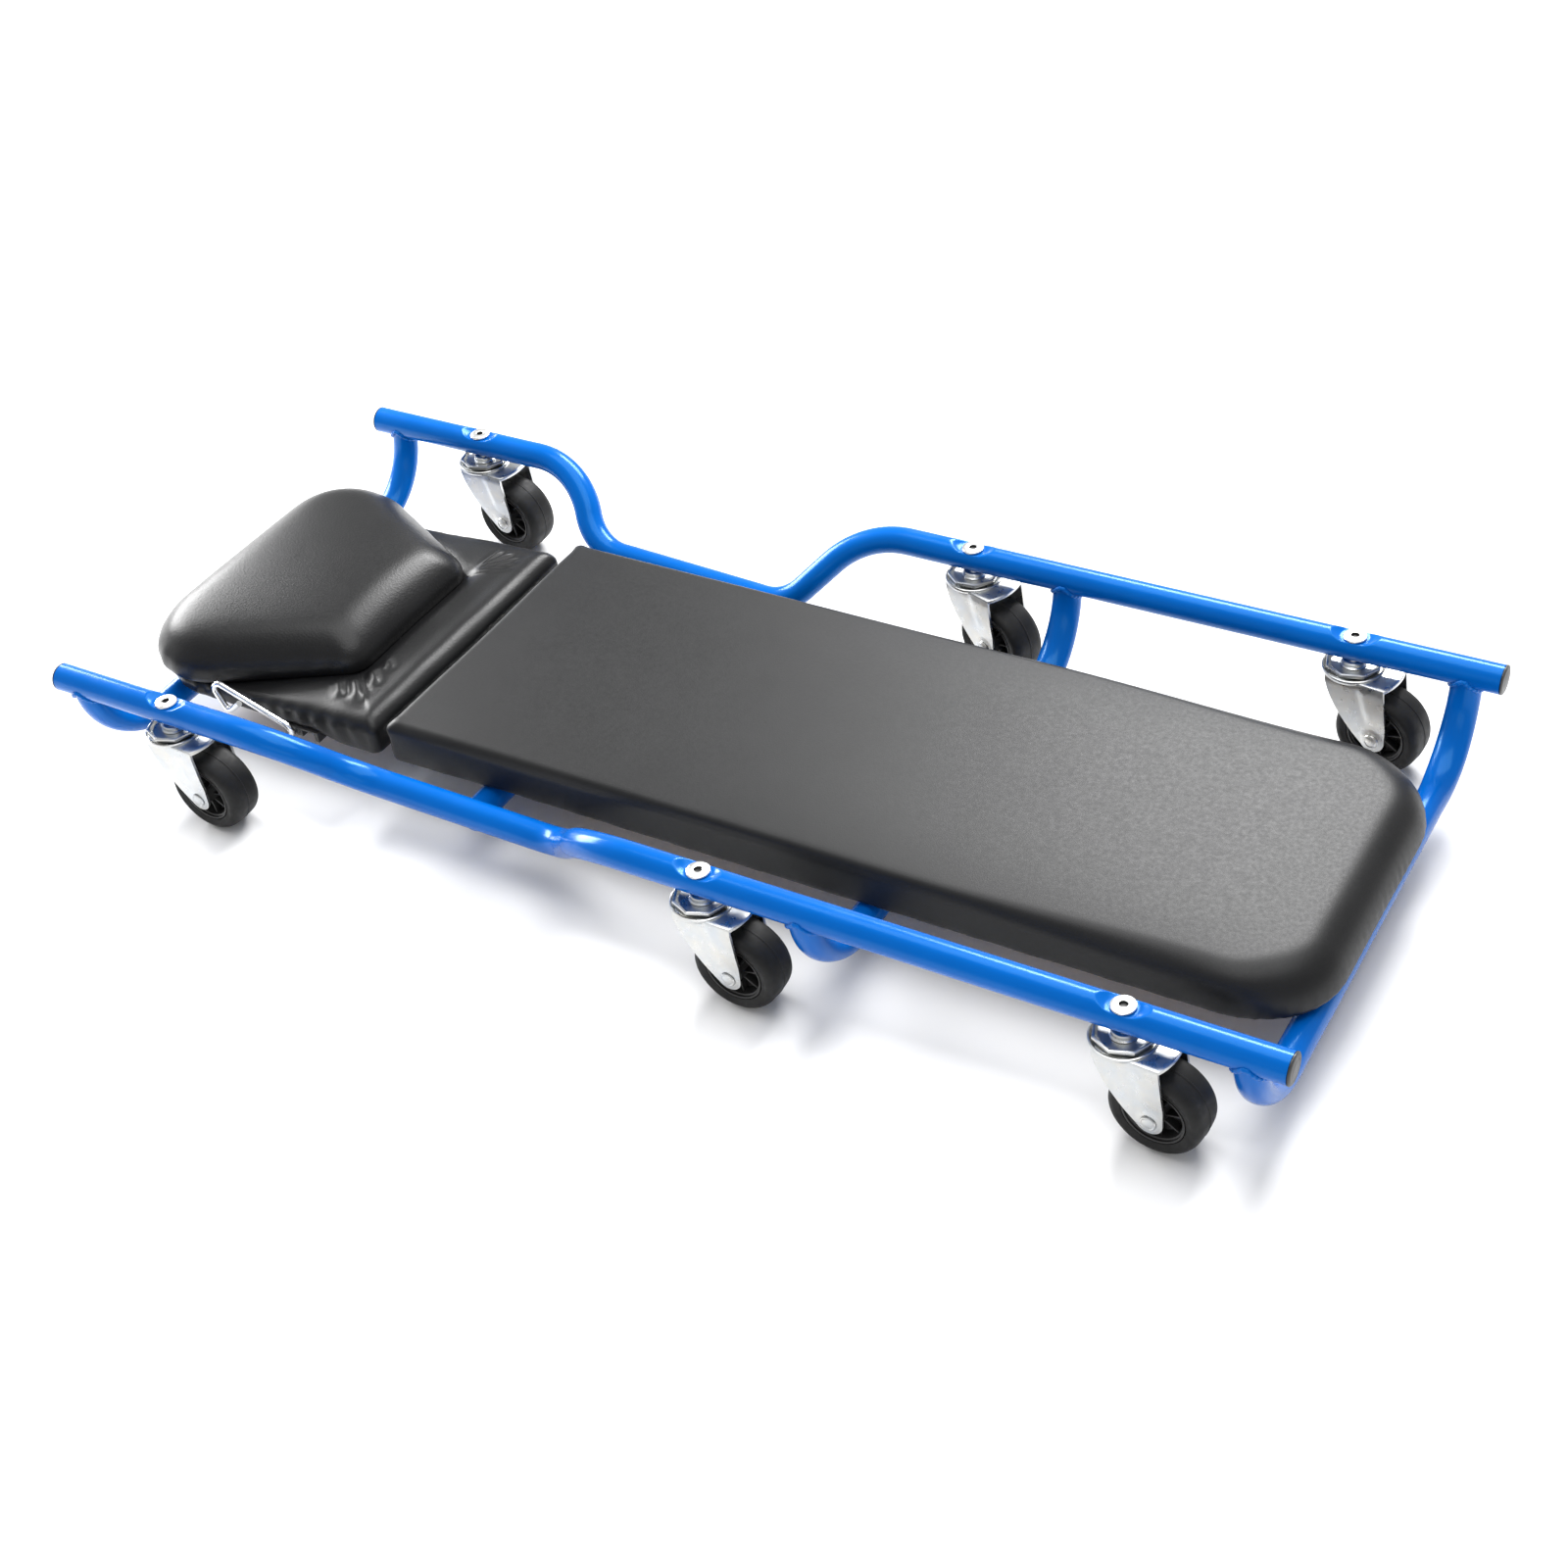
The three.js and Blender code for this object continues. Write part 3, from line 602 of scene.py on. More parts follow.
def leg_edges(depth):
    """The back and front edge of a fork leg at a depth below the rail's centre line."""
    back_z, back_x = np.array(LEG_BACK).T * MM
    end = math.radians(-143)
    arc_z = AXLE_DROP - LEG_END_R * math.sin(end)
    back = np.interp(depth, [*back_z, arc_z], [*back_x, TRAIL + LEG_END_R * math.cos(end)])
    round_x = np.sqrt(np.maximum(LEG_END_R ** 2 - (depth - AXLE_DROP) ** 2, 0))
    back = np.where(depth > arc_z, TRAIL - round_x, back)
    knees = [FORK_FRONT, FORK_FRONT + 3.3 * MM, TRAIL + LEG_END_R]
    front = np.interp(depth, [-CROWN_TOP, 52 * MM, AXLE_DROP], knees)
    front = np.where(depth > AXLE_DROP, TRAIL + round_x, front)
    return back, front


def fork_leg():
    """One leg as a sheet with a soft vertical crease, closed round its edges."""
    depths = np.concatenate([
        np.linspace(0.0192, AXLE_DROP - 0.004, 26),
        AXLE_DROP + LEG_END_R * np.sin(np.linspace(math.radians(-12), math.radians(88), 16)),
    ])
    columns = 22
    across = np.linspace(0, 1, columns)
    back, front = leg_edges(depths)
    depth = depths[:, None]
    x = back[:, None] + (front - back)[:, None] * across[None, :]
    z = -np.repeat(depth, columns, axis=1)
    crease_x = 0.010 + (depth - 0.02) * 0.30
    lift = 0.0007 * smoothstep((x - crease_x) / 0.005) * smoothstep((0.058 - depth) / 0.018)
    boss = 0.0006 * smoothstep((0.0088 - np.hypot(x - TRAIL, z + AXLE_DROP)) / 0.0016)
    flare = 0.0006 * smoothstep((0.024 - depth) / 0.005)
    outer = -(FORK_HALF + lift + boss - flare)
    skins = [np.stack([x, y, z], axis=2).reshape(-1, 3) for y in (outer, outer + PLATE)]
    rows = len(depths)
    shift = rows * columns
    face_rows = grid_faces(rows, columns, closed_columns=False)
    faces = [tuple(reversed(face)) for face in face_rows]
    faces += [tuple(i + shift for i in face) for face in face_rows]
    rim = list(range(columns))
    rim += [i * columns + columns - 1 for i in range(1, rows)]
    rim += [(rows - 1) * columns + j for j in range(columns - 2, -1, -1)]
    rim += [i * columns for i in range(rows - 2, 0, -1)]
    for a, b in zip(rim, rim[1:] + rim[:1]):
        faces.append((a, b, b + shift, a + shift))
    return np.vstack(skins), faces


def crown_outline(inset):
    half = FORK_HALF - inset
    swing = math.asin(half / CROWN_FRONT_R)
    centre = FORK_FRONT - CROWN_FRONT_R * math.cos(math.asin(FORK_HALF / CROWN_FRONT_R))
    points = [(CROWN_BACK + inset, half), (CROWN_BACK + inset, -half)]
    radius = CROWN_FRONT_R - inset
    for a in np.linspace(-swing, swing, 25):
        points.append((centre + radius * math.cos(a), radius * math.sin(a)))
    return points


def crown():
    """The top plate of the fork, with a rolled top edge."""
    layers = mm((0, -2.6), (0, -0.9), (0.3, -0.3), (0.9, 0), (3, 0))
    rings = [[(x, y, CROWN_TOP + drop) for x, y in crown_outline(inset)] for inset, drop in layers]
    columns = len(rings[0])
    points = [p for ring in rings for p in ring]
    faces = grid_faces(len(rings), columns)
    faces.append(tuple((len(rings) - 1) * columns + j for j in range(columns)))
    faces.append(tuple(reversed(range(columns))))
    return np.array(points), faces


def fork():
    leg = fork_leg()
    return merge(leg, mirrored_y(leg), crown(), lower_race())


def axle():
    """A rod riveted over outside each leg of the fork."""
    rivet = mm((3.0, 0), (5.6, 0), (5.8, 0.5), (5.3, 1.2), (4.6, 1.4), (4.0, 1.1), (2.4, 1.6), (0, 1.7))
    rivet = [(r, FORK_HALF + 0.8 * MM + h) for r, h in rivet]
    return moved(turned([(r, -h) for r, h in reversed(rivet)] + rivet, 48), ON_AXLE)


def hub():
    """A moulded hub: boss, web, rim and eight ribs on each face."""
    half = mm(
        (3.2, 16.4), (5.6, 16.4), (6.4, 15.8), (6.8, 12.4), (8.4, 5.2), (9.4, 4.2), (16.5, 3.6),
        (18.4, 4.6), (19.2, 10.0), (19.6, 11.8), (20.6, 12.4), (20.9, 13.8), (22.2, 14.0), (22.4, 13.4),
    )
    parts = [flipped(turned([*half, *[(r, -h) for r, h in reversed(half)]], 96))]
    for k in range(8):
        turn = Matrix.Rotation(k * math.pi / 4 + 0.2, 4, "Z")
        for sign in (1, -1):
            low, high = sorted((sign * 0.003, sign * 0.0098))
            rib = rounded_box((0.0062, -0.0008, low), (0.0192, 0.0008, high), 0.0004)
            parts.append(moved(rib, turn))
    return moved(merge(*parts), ON_AXLE)


def tyre():
    """A solid tyre with rounded shoulders, a raised mould line and a stepped side wall."""
    inner = RIM_R + 0.3 * MM
    crown_half = 7.5 * MM
    half = [(WHEEL_R - r, h) for r, h in mm((0, 0.5), (0.3, 0.8), (0.3, 4.5))]
    for a in np.linspace(0.12, math.pi / 2, 9):
        drop = 0.6 * MM + 5.2 * MM * (1 - math.cos(a))
        half.append((WHEEL_R - drop, crown_half + (WHEEL_HALF - crown_half) * math.sin(a)))
    half += [(WHEEL_R - r, WHEEL_HALF - h) for r, h in mm((6.6, 0), (7.2, 0.4))]
    half += [(inner + r, WHEEL_HALF - h) for r, h in mm((1.4, 0.6), (0.3, 1.2), (0, 2.0))]
    return moved(turned([*[(r, -h) for r, h in reversed(half)], *half], 128), ON_AXLE)


def make_casters():
    kinds = {
        "bolt_head": (bolt(), BOLT_ZINC, "frame", "bolt_zinc", "caster_bolt"),
        "race_cup": (swivel_cup(), ZINC, "frame", "zinc_steel", "swivel_cup"),
        "fork_shell": (fork(), ZINC, "swivel", "zinc_steel", "fork"),
        "axle_rivet": (axle(), ZINC, "swivel", "zinc_steel", "axle"),
        "wheel_hub": (hub(), HUB_BLACK, "wheel", "hub_plastic", "hub"),
        "wheel_tyre": (tyre(), RUBBER, "wheel", "tyre_rubber", "tyre"),
    }
    for side in SIDES:
        for place in PLACES:
            tag = f"{place}_{side}"
            axis = JOINTS[f"wheel_{tag}"]["axis"]
            yaw = math.atan2(-axis[0], axis[1])
            at = Matrix.Translation(JOINTS[f"swivel_{tag}"]["pos_m"]) @ Matrix.Rotation(yaw, 4, "Z")
            for kind, (part, material, body, slot, node) in kinds.items():
                piece = add_mesh(f"{kind}_{tag}", *moved(part, at), material, sharp=35)
                # The faces inside each bolt's hex socket take the black cap material as painted shade, so
                # the socket looks dark inside.
                if kind == "bolt_head":
                    socket = at.translation + Vector((0, 0, DIMPLE_FLOOR))
                    paint_faces(piece, CAP_BLACK_AND_SOCKET_SHADE, lambda c: (c - socket).xy.length < SOCKET_R - 0.05 * MM
                                and socket.z - 4.5 * MM < c.z < socket.z + 2.1 * MM)
                body_name = body if body == "frame" else f"{body}_{tag}"
                place_piece(piece, body_name, f"{node}_{tag}")


# ---- pads
PAD_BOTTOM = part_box("bed_board")[0].z
BOARD_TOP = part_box("bed_board")[1].z
BOARD_INSET = 0.009
LIP_INSET = 0.030
COVER_UNDER = PAD_BOTTOM - 0.0013
BED_LOW, BED_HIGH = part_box("bed_cushion")
REST_LOW, REST_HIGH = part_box("headrest_cushion")
PILLOW_LOW, PILLOW_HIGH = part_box("head_pillow")
PILLOW_FOOT_HALF = 0.073
PILLOW_WIDE = 0.1718
PILLOW_CORNER_R = [0.059, 0.024, 0.024, 0.059]
REST_TOP = REST_HIGH.z - 0.0005
REST_SEAT = BOARD_TOP + 0.0035
WALL = 0.4 * MM                  # how far a pad's side wall stays inside its outline
BOTTOM_ROLL = [(0.95, 0.03), (0.62, 0.14), (0.34, 0.34), (0.14, 0.64)]
BED_FOOT_R = 0.062
BED_HEAD_R = 0.006
FOOT_STUFFING = 4 * MM
REST_FOOT_R = 0.007
REST_HEAD_R = 0.055
WEDGE_START = -0.131             # where the headrest's top starts to rise, from the pillow's foot end
WEDGE_END = 0.084
CLOTH_FRAMES = 20
HIDDEN = 0
SKIN = 1


def rounded_ring(corners, radii, inset, edge_points, corner_points, least):
    """One ring of a rounded convex outline moved inwards, always with the same number of points."""
    count = len(corners)
    corners = [Vector(c) for c in corners]
    pulled = []
    for i in range(count):
        before = (corners[i] - corners[i - 1]).normalized()
        after = (corners[(i + 1) % count] - corners[i]).normalized()
        n1 = Vector((-before.y, before.x))
        n2 = Vector((-after.y, after.x))
        pulled.append(corners[i] + (n1 + n2) * (inset / (1 + n1.dot(n2))))
    arcs = []
    for i in range(count):
        radius = max(radii[i] - inset, least)
        arcs.append(bend(pulled[i], pulled[i - 1], pulled[(i + 1) % count], radius, corner_points))
    ring = []
    for i in range(count):
        ring += arcs[i]
        a = arcs[i][-1]
        b = arcs[(i + 1) % count][0]
        ring += [a.lerp(b, k / edge_points[i]) for k in range(1, edge_points[i])]
    return np.array([tuple(p) for p in ring])


class Pad:
    """A loft of rings over one outline, from its hidden inside to the middle of its top."""

    def __init__(self, corners, radii, edge_points, corner_points, spine, least=0.002, depth=0.03):
        shape = (corners, radii)
        grid = (edge_points, corner_points, least)
        self.outline = rounded_ring(*shape, 0, *grid)
        self.inward = (rounded_ring(*shape, depth, *grid) - self.outline) / depth
        self.spine = spine
        self.rings = []
        self.kinds = []

    def flat(self, inset):
        return self.outline + self.inward * np.reshape(inset, (-1, 1))

    def ring(self, inset, z, kind=SKIN):
        flat = self.flat(inset)
        self.rings.append(np.column_stack([flat, np.broadcast_to(z, len(flat))]))
        self.kinds.append(kind)

    def bottom_roll(self, inset, bottom, radius, steps):
        for turn in np.linspace(0, math.pi / 2, steps):
            self.ring(inset + radius * (1 - math.sin(turn)), bottom + radius * (1 - math.cos(turn)))

    def top_roll(self, inset, top, radius, steps, height=None, skip=0):
        height = radius if height is None else height
        for turn in np.linspace(0, math.pi / 2, steps)[skip:]:
            self.ring(inset + radius * (1 - math.cos(turn)), top - height * (1 - math.sin(turn)))

    def towards_spine(self, flat, part):
        target = np.column_stack([np.clip(flat[:, 0], *self.spine), np.zeros(len(flat))])
        return flat + (target - flat) * part

    def open_inside(self, inset, z, steps):
        """The hidden inside surface, from the spine out to an inset."""
        for part in np.linspace(1, 0, steps, endpoint=False):
            flat = self.towards_spine(self.flat(inset), part)
            self.rings.append(np.column_stack([flat, np.full(len(flat), z)]))
            self.kinds.append(HIDDEN)

    def close_top(self, steps, z):
        """Rings that close in from the last ring to the spine, easing to a height."""
        last = self.rings[-1]
        for part in np.linspace(0, 1, steps + 1)[1:] ** 0.9:
            flat = self.towards_spine(last[:, :2], part)
            heights = last[:, 2] + (z - last[:, 2]) * smoothstep(part * 2.5)
            self.rings.append(np.column_stack([flat, heights]))
            self.kinds.append(SKIN)

    def over_board(self):
        """The cover's inside over the board, round its edge, and under it as a stapled lip."""
        over = BOARD_TOP + 0.3 * MM
        under = PAD_BOTTOM - 0.3 * MM
        beside = BOARD_INSET - 0.4 * MM
        self.open_inside(LIP_INSET, over, 2)
        rings = [
            (LIP_INSET, over), (beside, over), (beside, under), (LIP_INSET, under),
            (LIP_INSET + 0.4 * MM, PAD_BOTTOM - 0.9 * MM), (LIP_INSET - 0.8 * MM, COVER_UNDER + 0.1 * MM),
            (LIP_INSET - 10 * MM, COVER_UNDER),
        ]
        for inset, z in rings:
            self.ring(inset, z, HIDDEN)

    def build(self, name, material):
        columns = len(self.rings[0])
        faces = grid_faces(len(self.rings), columns)
        piece = add_mesh(name, np.concatenate(self.rings), faces, material, sharp=180)
        kind = piece.data.attributes.new("kind", "FLOAT", "POINT")
        kind.data.foreach_set("value", np.repeat(self.kinds, columns).astype(float))
        shape = bmesh.new()
        shape.from_mesh(piece.data)
        bmesh.ops.remove_doubles(shape, verts=shape.verts, dist=1e-5)
        shape.to_mesh(piece.data)
        shape.free()
        return piece


def coordinates(piece, key="co"):
    flat = np.empty(len(piece.data.vertices) * 3)
    piece.data.vertices.foreach_get(key, flat)
    return flat.reshape(-1, 3)


def normals_of(piece):
    return coordinates(piece, "normal")


def set_coordinates(piece, points):
    piece.data.vertices.foreach_set("co", np.asarray(points, float).ravel())
    piece.data.update()


def kinds_of(piece):
    values = np.empty(len(piece.data.vertices), np.float32)
    piece.data.attributes["kind"].data.foreach_get("value", values)
    return values


def relaxed(piece, values, rounds):
    """Averages a value per point with its neighbours' a number of times."""
    edges = np.empty(len(piece.data.edges) * 2, np.int32)
    piece.data.edges.foreach_get("vertices", edges)
    a, b = edges.reshape(-1, 2).T
    degree = np.bincount(np.concatenate([a, b]), minlength=len(values))[:, None]
    for _ in range(rounds):
        total = np.zeros_like(values)
        np.add.at(total, a, values[b])
        np.add.at(total, b, values[a])
        values = 0.5 * values + 0.5 * total / degree
    return values


def evened(points, shift, weight, order=4):
    """Where the weight is 1 the cover is taut, so its shift follows one smooth surface over the plan."""
    middle = points[:, :2].mean(axis=0)
    flat = (points[:, :2] - middle) / np.abs(points[:, :2] - middle).max(axis=0)
    terms = [flat[:, 0] ** i * flat[:, 1] ** j for i in range(order + 1) for j in range(order + 1 - i)]
    table = np.stack(terms, axis=1)
    fit = np.linalg.lstsq(table * weight[:, None], shift * weight[:, None], rcond=None)[0]
    return shift + (table @ fit - shift) * weight[:, None]


def puff(piece, pressure, cap, rounds, taut=None):
    """Cloth simulation of the cover over its foam. Hidden points stay, and none moves past the cap."""
    rest = coordinates(piece)
    group = piece.vertex_groups.new(name="held")
    group.add([int(i) for i in np.where(kinds_of(piece) < 0.5)[0]], 1.0, "REPLACE")
    cloth = piece.modifiers.new("cover", "CLOTH")
    values = {
        "quality": 6, "mass": 0.4, "tension_stiffness": 15, "compression_stiffness": 15,
        "bending_stiffness": 4, "vertex_group_mass": "held", "use_pressure": True,
        "uniform_pressure_force": pressure,
    }
    for key, value in values.items():
        setattr(cloth.settings, key, value)
    cloth.settings.effector_weights.gravity = 0
    cloth.collision_settings.use_collision = False
    cloth.point_cache.frame_start = 1
    cloth.point_cache.frame_end = CLOTH_FRAMES
    scene = bpy.context.scene
    for frame_number in range(1, CLOTH_FRAMES + 1):
        scene.frame_set(frame_number)
    shown = piece.evaluated_get(bpy.context.evaluated_depsgraph_get())
    flat = np.empty(len(rest) * 3)
    shown.to_mesh().vertices.foreach_get("co", flat)
    shown.to_mesh_clear()
    piece.modifiers.remove(cloth)
    piece.vertex_groups.clear()
    scene.frame_set(1)
    shift = flat.reshape(-1, 3) - rest
    length = np.linalg.norm(shift, axis=1)
    shift *= (cap * np.tanh(length / cap) / np.maximum(length, 1e-9))[:, None]
    shift = relaxed(piece, shift, rounds)
    if taut is not None:
        shift = evened(rest, shift, taut)
    shift *= np.clip(kinds_of(piece), 0, 1)[:, None]
    set_coordinates(piece, rest + shift)


def subdivide(piece):
    modifier = piece.modifiers.new("finer", "SUBSURF")
    modifier.levels = 1
    modifier.render_levels = 1
    shown = piece.evaluated_get(bpy.context.evaluated_depsgraph_get())
    data = bpy.data.meshes.new_from_object(shown)
    piece.modifiers.remove(modifier)
    piece.data = data


def wobble(points, scale, seed):
    """Smooth noise from -1 to 1 at each point."""
    offset = Vector((seed * 7.3, seed * 3.1, seed * 1.7))
    return np.array([noise.noise(Vector(p) * scale + offset) for p in points])


def sculpt(piece, heights):
    """Moves each visible point along its normal."""
    amount = heights * np.clip(kinds_of(piece), 0, 1)
    set_coordinates(piece, coordinates(piece) + normals_of(piece) * amount[:, None])


def sheet_outline(low, high, foot_r, head_r):
    """The corners and corner radii of a pad, starting at its near head corner."""
    corners = [(low.x, -high.y), (high.x, -high.y), (high.x, high.y), (low.x, high.y)]
    return corners, [head_r, foot_r, foot_r, head_r]


def make_boards():
    """Plywood with its edge rounded over, inside the cover."""
    shapes = {
        "bed": ("frame", BED_LOW, BED_HIGH, BED_FOOT_R, BED_HEAD_R),
        "headrest": ("headrest", REST_LOW, REST_HIGH, REST_FOOT_R, REST_HEAD_R),
    }
    for name, (body, low, high, foot_r, head_r) in shapes.items():
        corners, radii = sheet_outline(low, high, foot_r, head_r)
        board = Pad(corners, radii, [60, 30, 60, 30], 10, (low.x + 0.1, high.x - 0.1))
        board.open_inside(BOARD_INSET + 0.002, PAD_BOTTOM, 3)
        board.bottom_roll(BOARD_INSET, PAD_BOTTOM, 1.2 * MM, 5)
        board.top_roll(BOARD_INSET, BOARD_TOP, 1.2 * MM, 5)
        board.close_top(3, BOARD_TOP)
        piece = board.build(f"{name}_plywood", PLYWOOD)
        place_piece(piece, body, f"{name}_board")


def make_bed():
    top = BED_HIGH.z - 0.001
    half = BED_HIGH.y
    head = BED_LOW.x
    foot = BED_HIGH.x
    corners, radii = sheet_outline(BED_LOW, BED_HIGH, BED_FOOT_R, BED_HEAD_R)
    pad = Pad(corners, radii, [110, 32, 110, 44], 14, (head + half, foot - half))
    pad.over_board()
    x = pad.outline[:, 0]
    x += FOOT_STUFFING * between(x, foot - 0.05, foot - 0.01)
    roll = 0.0085 + 0.0105 * between(x, foot - 0.30, foot - 0.06)
    roll += 0.010 * between(x, foot - 0.07, foot - 0.005)
    hang = COVER_UNDER - 0.0026 * between(-x, -head - 0.12, -head)
    pad.ring(0.0105, COVER_UNDER)
    under_roll = 0.006
    for inset, rise in BOTTOM_ROLL:
        pad.ring(inset * under_roll, hang + rise * under_roll)
    wall_low = hang + under_roll
    for part in (0, 0.5, 1):
        pad.ring(WALL, wall_low + (top - roll - wall_low) * part)
    pad.top_roll(WALL, top, roll, 9, skip=1)
    pad.ring(WALL + roll + 0.005, top)
    pad.ring(WALL + roll + 0.012, top)
    pad.close_top(18, top)
    piece = pad.build("bed_pad", BED_VINYL)
    points = coordinates(piece)
    x, y, z = points.T
    across = np.clip(y / half, -1, 1)
    along = np.clip((x - head) / (foot - head), 0, 1)
    crown = (1 - across ** 2) * smoothstep(along / 0.1) * smoothstep((1 - along) / 0.14)
    z += 0.0014 * crown * between(z, top - 0.002, top)
    set_coordinates(piece, points)
    puff(piece, 2.0, 0.003, 12, between(z, top - 0.006, top - 0.001))
    subdivide(piece)
    points = coordinates(piece)
    x, y, z = points.T
    height = (z - PAD_BOTTOM) / (top - PAD_BOTTOM)
    upright = smoothstep(1.6 * (1 - np.abs(normals_of(piece)[:, 2])))
    at_foot = between(x, foot - 0.085, foot - 0.045)
    straight = half - BED_FOOT_R
    round_y = np.sign(y) * np.maximum(np.abs(y) - straight, 0)
    round_x = np.maximum(x - (foot - BED_FOOT_R), 0.004)
    bearing = np.arctan2(round_y, round_x)
    run = bearing * BED_FOOT_R + np.clip(y, -straight, straight)
    pleats = np.sin(run * 640 + 2.0 * wobble(points, 22, 2)) * (0.55 + 0.6 * wobble(points, 45, 3))
    lower = bump(height - 0.22, 0.5)
    corner = bump(np.abs(bearing) - 0.9, 0.9)
    heights = 0.0008 * pleats * upright * lower * at_foot * (0.35 + 0.65 * corner)
    ripples = np.sin(x * 150 + 4 * wobble(points, 11, 5)) * bump(height - 0.12, 0.3)
    heights += 0.0004 * ripples * upright * (1 - at_foot)
    heights += 0.0004 * wobble(points, 6, 7) * between(height, 0.5, 0.8)
    tip = np.hypot(x - head, half - np.abs(y))
    heights += 0.0014 * bump(tip, 0.018) * between(height, 0.6, 0.9)
    sculpt(piece, heights)
    place_piece(piece, "frame", "bed_cushion")


def fold_line(points, start, end, width, height, waist=0.35):
    """A raised fold from start to end in plan, widest in the middle of its length."""
    start = np.array(start)
    run = np.array(end) - start
    length = np.linalg.norm(run)
    run /= length
    offset = points[:, :2] - start
    along = offset @ run / length
    across = offset @ np.array([-run[1], run[0]])
    envelope = smoothstep(along / waist) * smoothstep((1 - along) / waist)
    return height * envelope * np.exp(-(across / width) ** 2)


def headrest_folds(points):
    """Creases that run out from the pillow's two foot corners, as the cover is pulled round them."""
    near = np.array([PILLOW_HIGH.x - 0.006, -PILLOW_FOOT_HALF])
    far = np.array([PILLOW_HIGH.x - 0.004, PILLOW_FOOT_HALF])
    lift = np.zeros(len(points))
    folds = [
        ((-0.008, -0.014), (0.014, -0.037), 0.0048, 0.0025),
        ((0.002, -0.006), (0.033, -0.037), 0.0052, 0.0032),
        ((0.009, 0.008), (0.033, -0.014), 0.0046, 0.0024),
        ((0.013, 0.022), (0.032, 0.008), 0.0044, 0.0016),
        ((-0.002, -0.011), (0.020, -0.034), 0.0034, -0.0014),
        ((0.006, 0.001), (0.033, -0.027), 0.0038, -0.0012),
    ]
    for start, end, width, height in folds:
        lift += fold_line(points, near + start, near + end, width, height)
    for k, angle in enumerate((24, 36, 48, 61, 74)):
        reach = 0.050 - 0.004 * abs(k - 2)
        for offset, width, height in ((0, 0.0024, 0.0015), (6, 0.0018, -0.0010)):
            turn = math.radians(angle + offset)
            end = far + [reach * math.cos(turn), reach * math.sin(turn)]
            lift += fold_line(points, far + [0.002, 0.002], end, width, height, 0.22)
    return lift


def wedge_rise(x):
    """How far the headrest's wedge has risen at x, from 0 under the pillow to 1 at the hinge."""
    return between(x - PILLOW_HIGH.x, WEDGE_START, WEDGE_END)


def headrest_surface(points):
    """Height of the headrest's cover: the wedge, which sinks under the pillow."""
    x = points[:, 0]
    slant = (PILLOW_WIDE - PILLOW_FOOT_HALF) / (PILLOW_HIGH.x - PILLOW_LOW.x)
    reach = PILLOW_FOOT_HALF + slant * (PILLOW_HIGH.x - x)
    outside = np.maximum((np.abs(points[:, 1]) - reach) / math.hypot(1, slant), x - PILLOW_HIGH.x)
    return REST_SEAT + (REST_TOP - REST_SEAT) * wedge_rise(x) * between(outside, -0.016, 0.008)


def make_headrest():
    half = REST_HIGH.y
    foot = REST_HIGH.x
    corners, radii = sheet_outline(REST_LOW, REST_HIGH, REST_FOOT_R, REST_HEAD_R)
    pad = Pad(corners, radii, [66, 80, 66, 50], 12, (REST_LOW.x + 0.11, foot - 0.11))
    pad.over_board()
    x = pad.outline[:, 0]
    rise = wedge_rise(x)
    edge_top = REST_SEAT + (REST_TOP - REST_SEAT) * rise - 0.0006
    hang = COVER_UNDER - 0.0058 * between(x, PILLOW_HIGH.x - 0.012, PILLOW_HIGH.x + 0.020)
    pad.ring(0.0105, COVER_UNDER)
    under_roll = 0.0045
    for inset, lift in BOTTOM_ROLL:
        pad.ring(inset * under_roll, hang + lift * under_roll)
    low_wall = hang + 0.0048
    roll = 0.0058 + 0.0062 * rise
    pad.ring(WALL, low_wall + (edge_top - roll - low_wall) * 0.5 * rise)
    for turn in np.linspace(0, math.pi / 2, 8):
        height = np.maximum(edge_top - roll * (1 - math.sin(turn)), low_wall + 0.0004 * turn)
        pad.ring(0.0006 + roll * (1 - math.cos(turn)), height)
    for inset in np.linspace(0.0150, 0.052, 11):
        pad.ring(inset, edge_top + 0.0002)
    pad.close_top(12, REST_SEAT)
    piece = pad.build("headrest_pad", HEADREST_VINYL)
    points = coordinates(piece)
    x, y, z = points.T
    beyond = x - PILLOW_HIGH.x
    wedge = REST_SEAT + (REST_TOP - REST_SEAT) * wedge_rise(x)
    edge = np.minimum(foot - x, half - np.abs(y))
    edge = np.minimum(edge, x - REST_LOW.x)
    skin = kinds_of(piece) > 0.5
    at_top = between(z, wedge - 0.003, wedge - 0.0012)
    inner = between(edge, 0.008, 0.018) * np.maximum(at_top, between(edge, 0.02, 0.03)) * skin
    wanted = headrest_surface(points) - 0.0022 * bump(beyond - 0.027, 0.015) * between(edge, 0.006, 0.02)
    z += (wanted - z) * inner
    strip = between(beyond, -0.03, 0.0) * between(z, wedge - 0.010, wedge - 0.004)
    points += (relaxed(piece, points, 7) - points) * (strip * skin)[:, None]
    set_coordinates(piece, points)
    puff(piece, 1.6, 0.002, 6)
    subdivide(piece)
    points = coordinates(piece)
    x, y, z = points.T
    normals = normals_of(piece)
    upward = smoothstep(normals[:, 2] * 1.6)
    upright = smoothstep(1.6 * (1 - np.abs(normals[:, 2])))
    height = (z - PAD_BOTTOM) / (REST_TOP - PAD_BOTTOM)
    at_side = between(np.abs(y), half - 0.03, half - 0.012)
    gathers = np.sin(x * 330 + 3.5 * wobble(points, 16, 11))
    gathers *= 0.7 + 0.5 * wobble(points, 30, 12)
    heights = headrest_folds(points) * upward
    heights += 0.0009 * gathers * upright * bump(height - 0.4, 0.6) * at_side
    heights += 0.0006 * wobble(points, 26, 13) * upward
    sculpt(piece, heights)
    place_piece(piece, "headrest", "headrest_cushion")


